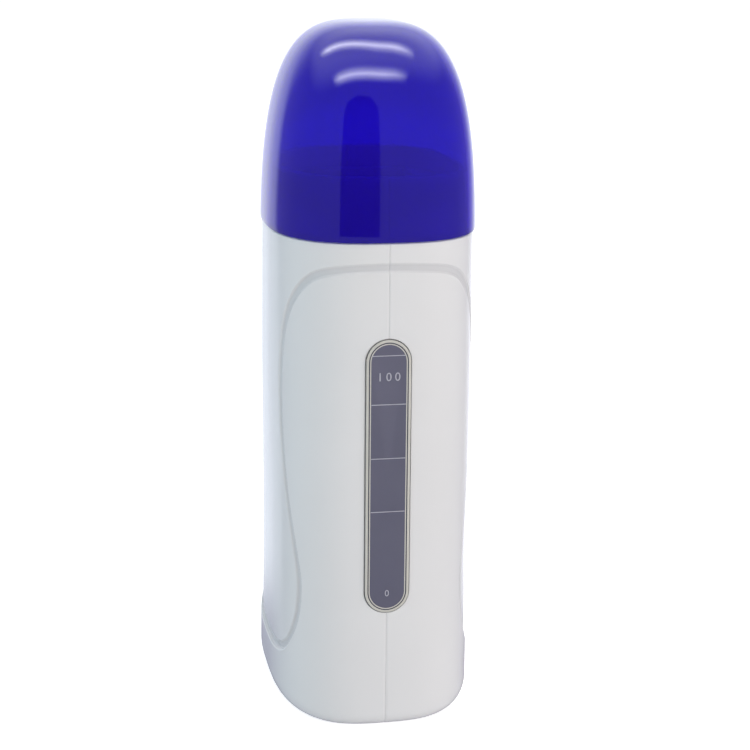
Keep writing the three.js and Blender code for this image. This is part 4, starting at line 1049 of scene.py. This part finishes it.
# Screw: threaded shank and a pan head with a cross recess, drawn by one tree
def screwGroup():
    form = screwForm
    tree, given = nodeGroup("screw", {
        "Diameter": 0.0026, "Core": 0.0021, "Length": 0.017, "Pitch": 0.0011,
        "Head Diameter": 0.005, "Head Height": 0.0019, "Recess Width": 0.0008,
        "Recess Depth": 0.0011, "Seat": 0.0083, "Sideways": 0.013, "Height": 0.011,
        "Material": None})

    def times(value, share):
        return "MULTIPLY", value, share

    # moves a shape along the screw's own axis
    def raised(made, z):
        shift = addNode(tree, "ShaderNodeCombineXYZ", None, {"Z": z})
        moved = addNode(tree, "GeometryNodeTransform", None, {
            "Geometry": made.outputs["Mesh"], "Translation": shift.outputs[0]})
        return moved.outputs["Geometry"]

    shank = addNode(tree, "GeometryNodeMeshCylinder", None, {
        "Vertices": form["shankSides"], "Radius": times(given["Core"], 0.5), "Depth": given["Length"]})
    head = addNode(tree, "GeometryNodeMeshCylinder", None, {
        "Vertices": form["headSides"], "Radius": times(given["Head Diameter"], 0.5),
        "Depth": given["Head Height"]})
    # the thread is a spiral swept with a small round section
    groove = times(("SUBTRACT", given["Diameter"], given["Core"]), 0.25)
    path = ("SUBTRACT", times(given["Diameter"], 0.5), groove)
    spiral = addNode(tree, "GeometryNodeCurveSpiral", None, {
        "Resolution": form["threadSteps"], "Rotations": ("DIVIDE", given["Length"], given["Pitch"]),
        "Start Radius": path, "End Radius": path,
        "Height": times(given["Length"], form["threadLength"])})
    section = addNode(tree, "GeometryNodeCurvePrimitiveCircle", None, {
        "Resolution": form["threadSides"], "Radius": groove})
    thread = addNode(tree, "GeometryNodeCurveToMesh", None, {
        "Curve": spiral.outputs["Curve"], "Profile Curve": section.outputs["Curve"], "Fill Caps": True})
    # two crossed bars cut the recess
    recess = addNode(tree, "GeometryNodeMeshBoolean", {"operation": "DIFFERENCE"})
    tree.links.new(raised(head, times(given["Head Height"], 0.5)), recess.inputs["Mesh 1"])
    high = ("SUBTRACT", given["Head Height"], times(given["Recess Depth"], 0.5))
    wide, narrow = times(given["Head Diameter"], form["recessLength"]), given["Recess Width"]
    for x, y in ((wide, narrow), (narrow, wide)):
        size = addNode(tree, "ShaderNodeCombineXYZ", None, {
            "X": x, "Y": y, "Z": times(given["Recess Depth"], form["recessOver"])})
        bar = addNode(tree, "GeometryNodeMeshCube", None, {"Size": size.outputs[0]})
        tree.links.new(raised(bar, high), recess.inputs["Mesh 2"])
    whole = addNode(tree, "GeometryNodeJoinGeometry")
    for made in (raised(shank, times(given["Length"], -0.5)),
                 raised(thread, times(given["Length"], form["threadFoot"])), recess.outputs["Mesh"]):
        tree.links.new(made, whole.inputs[0])
    # laid along +X with the head's underside on its seat
    spot = addNode(tree, "ShaderNodeCombineXYZ", None, {
        "X": given["Seat"], "Y": given["Sideways"], "Z": given["Height"]})
    laid = addNode(tree, "GeometryNodeTransform", None, {
        "Geometry": whole.outputs[0], "Translation": spot.outputs[0], "Rotation": (0, quarterTurn, 0)})
    return finishGroup(tree, given, laid.outputs["Geometry"])


def makeScrews():
    tree = screwGroup()
    for node, side in (("front_shell_screw", -1), ("rear_shell_screw", 1)):
        screw = growFrom(node + "_turned", tree, {
            "Sideways": side * screwForm["sideways"] * mm, "Material": materials["zincSteel"]})
        placePiece(screw, "zincSteel", node, 35)
        print(node, len(screw.data.polygons), "faces")


makeScrews()


# The sealed inner pieces keep their CAD meshes and get their finishes
innerLooks = {
    "pressedAluminium": ("left_heater_plate", "right_heater_plate", "thermal_fuse"),
    "filmWrappedHeater": ("left_ptc_heater", "right_ptc_heater"),
    "pressedMica": ("left_mica_sheet", "right_mica_sheet"),
    "springSteel": ("left_leaf_spring", "right_leaf_spring"),
    "lampGlass": ("neon_lamp",),
    "resistorLacquer": ("lamp_resistor",),
    "brownSleeve": ("left_live_wire", "right_live_wire", "fuse_link_wire", "lamp_live_lead"),
    "blueSleeve": ("left_neutral_wire", "right_neutral_wire", "lamp_neutral_lead"),
}
for look, names in innerLooks.items():
    for name in names:
        for place in nodes[name].material_slots:
            place.material = materials[look]
print("inner pieces finished")


# Camera, found by fitting the photographed outline
view = {
    "place": (-0.1006, -0.5239, 0.2423), "target": (0, 0, 0.1025), "roll": 0.73, "lens": 86.74,
    "sensor": 36, "shift": (0.01453, -0.020), "clip": (0.01, 50),
}


def makeCamera():
    data = bpy.data.cameras.new("camera")
    data.lens, data.sensor_width = view["lens"], view["sensor"]
    data.shift_x, data.shift_y = view["shift"]
    data.clip_start, data.clip_end = view["clip"]
    camera = newObject("camera", data)
    place = Vector(view["place"])
    forward = (Vector(view["target"]) - place).normalized()
    right = forward.cross(Vector((0, 0, 1))).normalized()
    up = right.cross(forward)
    roll = math.radians(view["roll"])
    x = right * math.cos(roll) + up * math.sin(roll)
    y = up * math.cos(roll) - right * math.sin(roll)
    axes = Matrix((x, y, -forward)).transposed().to_4x4()
    camera.matrix_world = Matrix.Translation(place) @ axes
    bpy.context.scene.camera = camera


makeCamera()


# Studio: soft lamps, a plain pale floor, and cards that only show in reflections. Lengths in metres.
studio = {
    "ceiling": 0.43, "ceilingTint": "FFFBF9", "gloss": 0.4, "glossTint": "D8D0F8",
    "back": 0.95, "backTint": "F4FCFF", "floor": "F2F2F2", "floorGlow": 0.66,
    "floorReach": 8, "floorMiddle": 3, "floorCorners": 64,
}
# Each lamp: its place, the height it points at, its width and height, level and tint
lamps = {
    "key": ((1.3, -0.85, 0.3), 0.05, (0.9, 0.5), 0.4, "FDFDFF"),
    "front": ((-0.35, -0.8, 0.3), 0.04, (1.2, 0.5), 0.245, "FFFAF4"),
    "fill": ((-1.4, -0.22, 0.4), 0.08, (1.2, 0.8), 0.235, "A8E6FF"),
    "rear": ((0.5, 1.5, 0.7), 0.08, (1.2, 0.8), 0.26, "FFFDFA"),
}
# The white wall behind, as mirrored: degrees leftward from the rear and upward. Its left end is
# sharp low down and soft higher up, and it is a little brighter towards its right.
backWall = {
    "leftEnd": 36, "sharp": 6, "soft": 45, "softAt": 45, "rightEnd": 40, "rightSoft": 16,
    "rightIn": 14, "foot": (-23.5, -20.5), "top": (75, 20), "nearer": (26, -12), "tones": (0.72, 1.15),
}
# Two lamp strips under the roof, and the dark shape that the cap mirrors in front
strips = {
    "level": 8.5, "height": 1.2, "halfWidth": 0.3, "endFade": (0.2, 1.0), "sideFade": (0.5, 2.0),
    "rearStrip": ((-0.95, 0.51), (0.61, -0.17)), "frontStrip": ((-1.05, -0.66), (0.57, -0.9)),
}
roof = {
    "level": 0.9, "height": 1.6, "middle": 0.3, "halfWidth": 3.2, "halfDepth": 1.9, "even": 0.3,
    "corners": ((-6, -4), (6, -4), (6, 6), (-6, 6)),
}
arch = {
    "y": -0.9, "outline": [(-0.5, 0.0), (0.12, 0.0), (0.12, 0.62), (0.04, 0.74), (-0.19, 0.79),
                           (-0.42, 0.74), (-0.5, 0.62)],
}


def makeLamp(name, place, height, size, level, tint):
    data = bpy.data.lights.new(name, "AREA")
    data.shape = "RECTANGLE"
    data.size, data.size_y = size
    way = Vector((0, 0, height)) - Vector(place)
    data.energy = level * math.pi ** 2 * way.length ** 2
    data.color = hexColor(tint)[:3]
    lamp = newObject(name, data)
    lamp.location = place
    lamp.rotation_euler = way.to_track_quat("-Z", "Y").to_euler()
    lamp.visible_glossy = lamp.visible_transmission = lamp.visible_camera = False


# How bright the mirrored wall is in each direction
def wallLevel(tree):
    form = {key: np.radians(value).tolist() for key, value in backWall.items() if key != "tones"}
    direction = addNode(tree, "ShaderNodeTexCoord").outputs["Generated"]
    way = addNode(tree, "ShaderNodeSeparateXYZ", None, {"Vector": direction}).outputs
    leftward = ("ARCTAN2", ("MULTIPLY", way["X"], -1.0), way["Y"])
    height = ("ARCSINE", way["Z"])
    smoothed = {"interpolation_type": "SMOOTHSTEP"}
    soft = addNode(tree, "ShaderNodeMapRange", smoothed, {
        "Value": height, "From Min": 0.0, "From Max": form["softAt"],
        "To Min": form["sharp"], "To Max": form["soft"]}).outputs["Result"]
    hard = ("MULTIPLY", soft, -1.0)
    level = studio["back"]
    for value, low, high, first, last in (
            (("SUBTRACT", leftward, form["leftEnd"]), soft, hard, 0.0, 1.0),
            (("ADD", leftward, form["rightEnd"]), ("SUBTRACT", hard, form["rightSoft"]),
             form["rightIn"], 0.0, 1.0),
            (height, *form["foot"], 0.0, 1.0),
            (height, *form["top"], 0.0, 1.0),
            (leftward, *form["nearer"], *backWall["tones"])):
        share = addNode(tree, "ShaderNodeMapRange", smoothed, {
            "Value": value, "From Min": low, "From Max": high, "To Min": first, "To Max": last})
        level = ("MULTIPLY", share.outputs["Result"], level)
    return level


def makeWorld():
    world = bpy.data.worlds.new("studio")
    bpy.context.scene.world = world
    tree = emptyTree(world)
    path = addNode(tree, "ShaderNodeLightPath").outputs
    plain, gloss, wall, white = (
        addNode(tree, "ShaderNodeBackground", None, {"Color": hexColor(tint), "Strength": level}).outputs[0]
        for tint, level in (
            (studio["ceilingTint"], studio["ceiling"]), (studio["glossTint"], studio["gloss"]),
            (studio["backTint"], wallLevel(tree)), ("FFFFFF", 1.0)))
    mirrored = addNode(tree, "ShaderNodeAddShader", None, {0: gloss, 1: wall})
    lit = addNode(tree, "ShaderNodeMixShader", None, {
        0: path["Is Glossy Ray"], 1: plain, 2: mirrored.outputs[0]})
    shown = addNode(tree, "ShaderNodeMixShader", None, {
        0: ("MAXIMUM", path["Is Camera Ray"], path["Is Transmission Ray"]), 1: lit.outputs[0], 2: white})
    addNode(tree, "ShaderNodeOutputWorld", None, {"Surface": shown.outputs[0]})


# A matt floor that glows a little, but only where it is looked at
def makeFloor():
    reach, middle, corners = studio["floorReach"], studio["floorMiddle"], studio["floorCorners"]
    turns = np.linspace(0, 2 * math.pi, corners, endpoint=False)
    points = [(reach * math.cos(a), reach * math.sin(a) + middle, 0) for a in turns]
    floor = newObject("floor", meshFrom("floor", points, [tuple(range(corners))]))
    material = bpy.data.materials.new("studioFloor")
    tree = emptyTree(material)
    path = addNode(tree, "ShaderNodeLightPath").outputs
    seen = ("MAXIMUM", path["Is Camera Ray"], path["Is Transmission Ray"])
    matt = addNode(tree, "ShaderNodeBsdfDiffuse", None, {"Color": hexColor(studio["floor"])})
    glow = addNode(tree, "ShaderNodeEmission", None, {
        "Color": hexColor("FFFFFF"), "Strength": ("MULTIPLY", seen, studio["floorGlow"])})
    both = addNode(tree, "ShaderNodeAddShader", None, {0: matt.outputs[0], 1: glow.outputs[0]})
    addNode(tree, "ShaderNodeOutputMaterial", None, {"Surface": both.outputs[0]})
    floor.data.materials.append(material)
    floor.visible_glossy = False


# A card that only reflections see. Where a rule gives its glow, it shows what is beyond it too.
def glossCard(name, corners, rule=None):
    card = newObject(name, meshFrom(name, corners, [tuple(range(len(corners)))]))
    material = bpy.data.materials.new(name)
    tree = emptyTree(material)
    surface = addNode(tree, "ShaderNodeEmission", None, {
        "Color": hexColor("FFFFFF"), "Strength": rule(tree) if rule else 0.0})
    if rule:
        clear = addNode(tree, "ShaderNodeBsdfTransparent", None, {"Color": hexColor("FFFFFF")})
        surface = addNode(tree, "ShaderNodeAddShader", None, {0: surface.outputs[0], 1: clear.outputs[0]})
    addNode(tree, "ShaderNodeOutputMaterial", None, {"Surface": surface.outputs[0]})
    card.data.materials.append(material)
    card.visible_camera = card.visible_diffuse = card.visible_transmission = False
    card.visible_volume_scatter = card.visible_shadow = False
    return card


# The roof fades from its middle to all sides
def roofLevel(tree):
    place = addNode(tree, "ShaderNodeTexCoord").outputs["Object"]
    spread = addNode(tree, "ShaderNodeSeparateXYZ", None, {"Vector": place}).outputs
    across = ("DIVIDE", spread["X"], roof["halfWidth"])
    along = ("DIVIDE", ("SUBTRACT", spread["Y"], roof["middle"]), roof["halfDepth"])
    squares = [("POWER", ("ABSOLUTE", share), 2.0) for share in (across, along)]
    fade = addNode(tree, "ShaderNodeMapRange", {"interpolation_type": "SMOOTHSTEP"}, {
        "Value": ("SQRT", ("ADD", *squares)), "From Min": 1.0, "From Max": roof["even"]})
    return "MULTIPLY", fade.outputs["Result"], roof["level"]


# A strip fades towards its ends and its sides, over a map of the quad
def stripLevel(tree):
    across = addNode(tree, "ShaderNodeUVMap", {"uv_map": "across"}).outputs["UV"]
    spot = addNode(tree, "ShaderNodeSeparateXYZ", None, {"Vector": across}).outputs
    level = strips["level"]
    for axis, (edge, peak) in (("X", strips["endFade"]), ("Y", strips["sideFade"])):
        share = addNode(tree, "ShaderNodeMapRange", None, {
            "Value": ("ABSOLUTE", ("SUBTRACT", spot[axis], 0.5)),
            "From Min": 0.5, "From Max": 0.5 - edge}).outputs["Result"]
        level = ("MULTIPLY", ("POWER", share, peak), level)
    return level


def makeCards():
    glossCard("roofCard", [(x, y, roof["height"]) for x, y in roof["corners"]], roofLevel)
    height, wide = strips["height"], strips["halfWidth"]
    for name in ("rearStrip", "frontStrip"):
        (x0, y0), (x1, y1) = strips[name]
        strip = glossCard(name, [(x0, y0 - wide, height), (x1, y1 - wide, height),
                                 (x1, y1 + wide, height), (x0, y0 + wide, height)], stripLevel)
        spots = strip.data.uv_layers.new(name="across").data
        for spot, corner in zip(spots, ((0, 0), (1, 0), (1, 1), (0, 1))):
            spot.uv = corner
    glossCard("frontCard", [(x, arch["y"], z) for x, z in arch["outline"]])


makeWorld()
for name, values in lamps.items():
    makeLamp(name, *values)
makeFloor()
makeCards()
bpy.context.scene.view_settings.view_transform = "Standard"
print("camera and studio set")
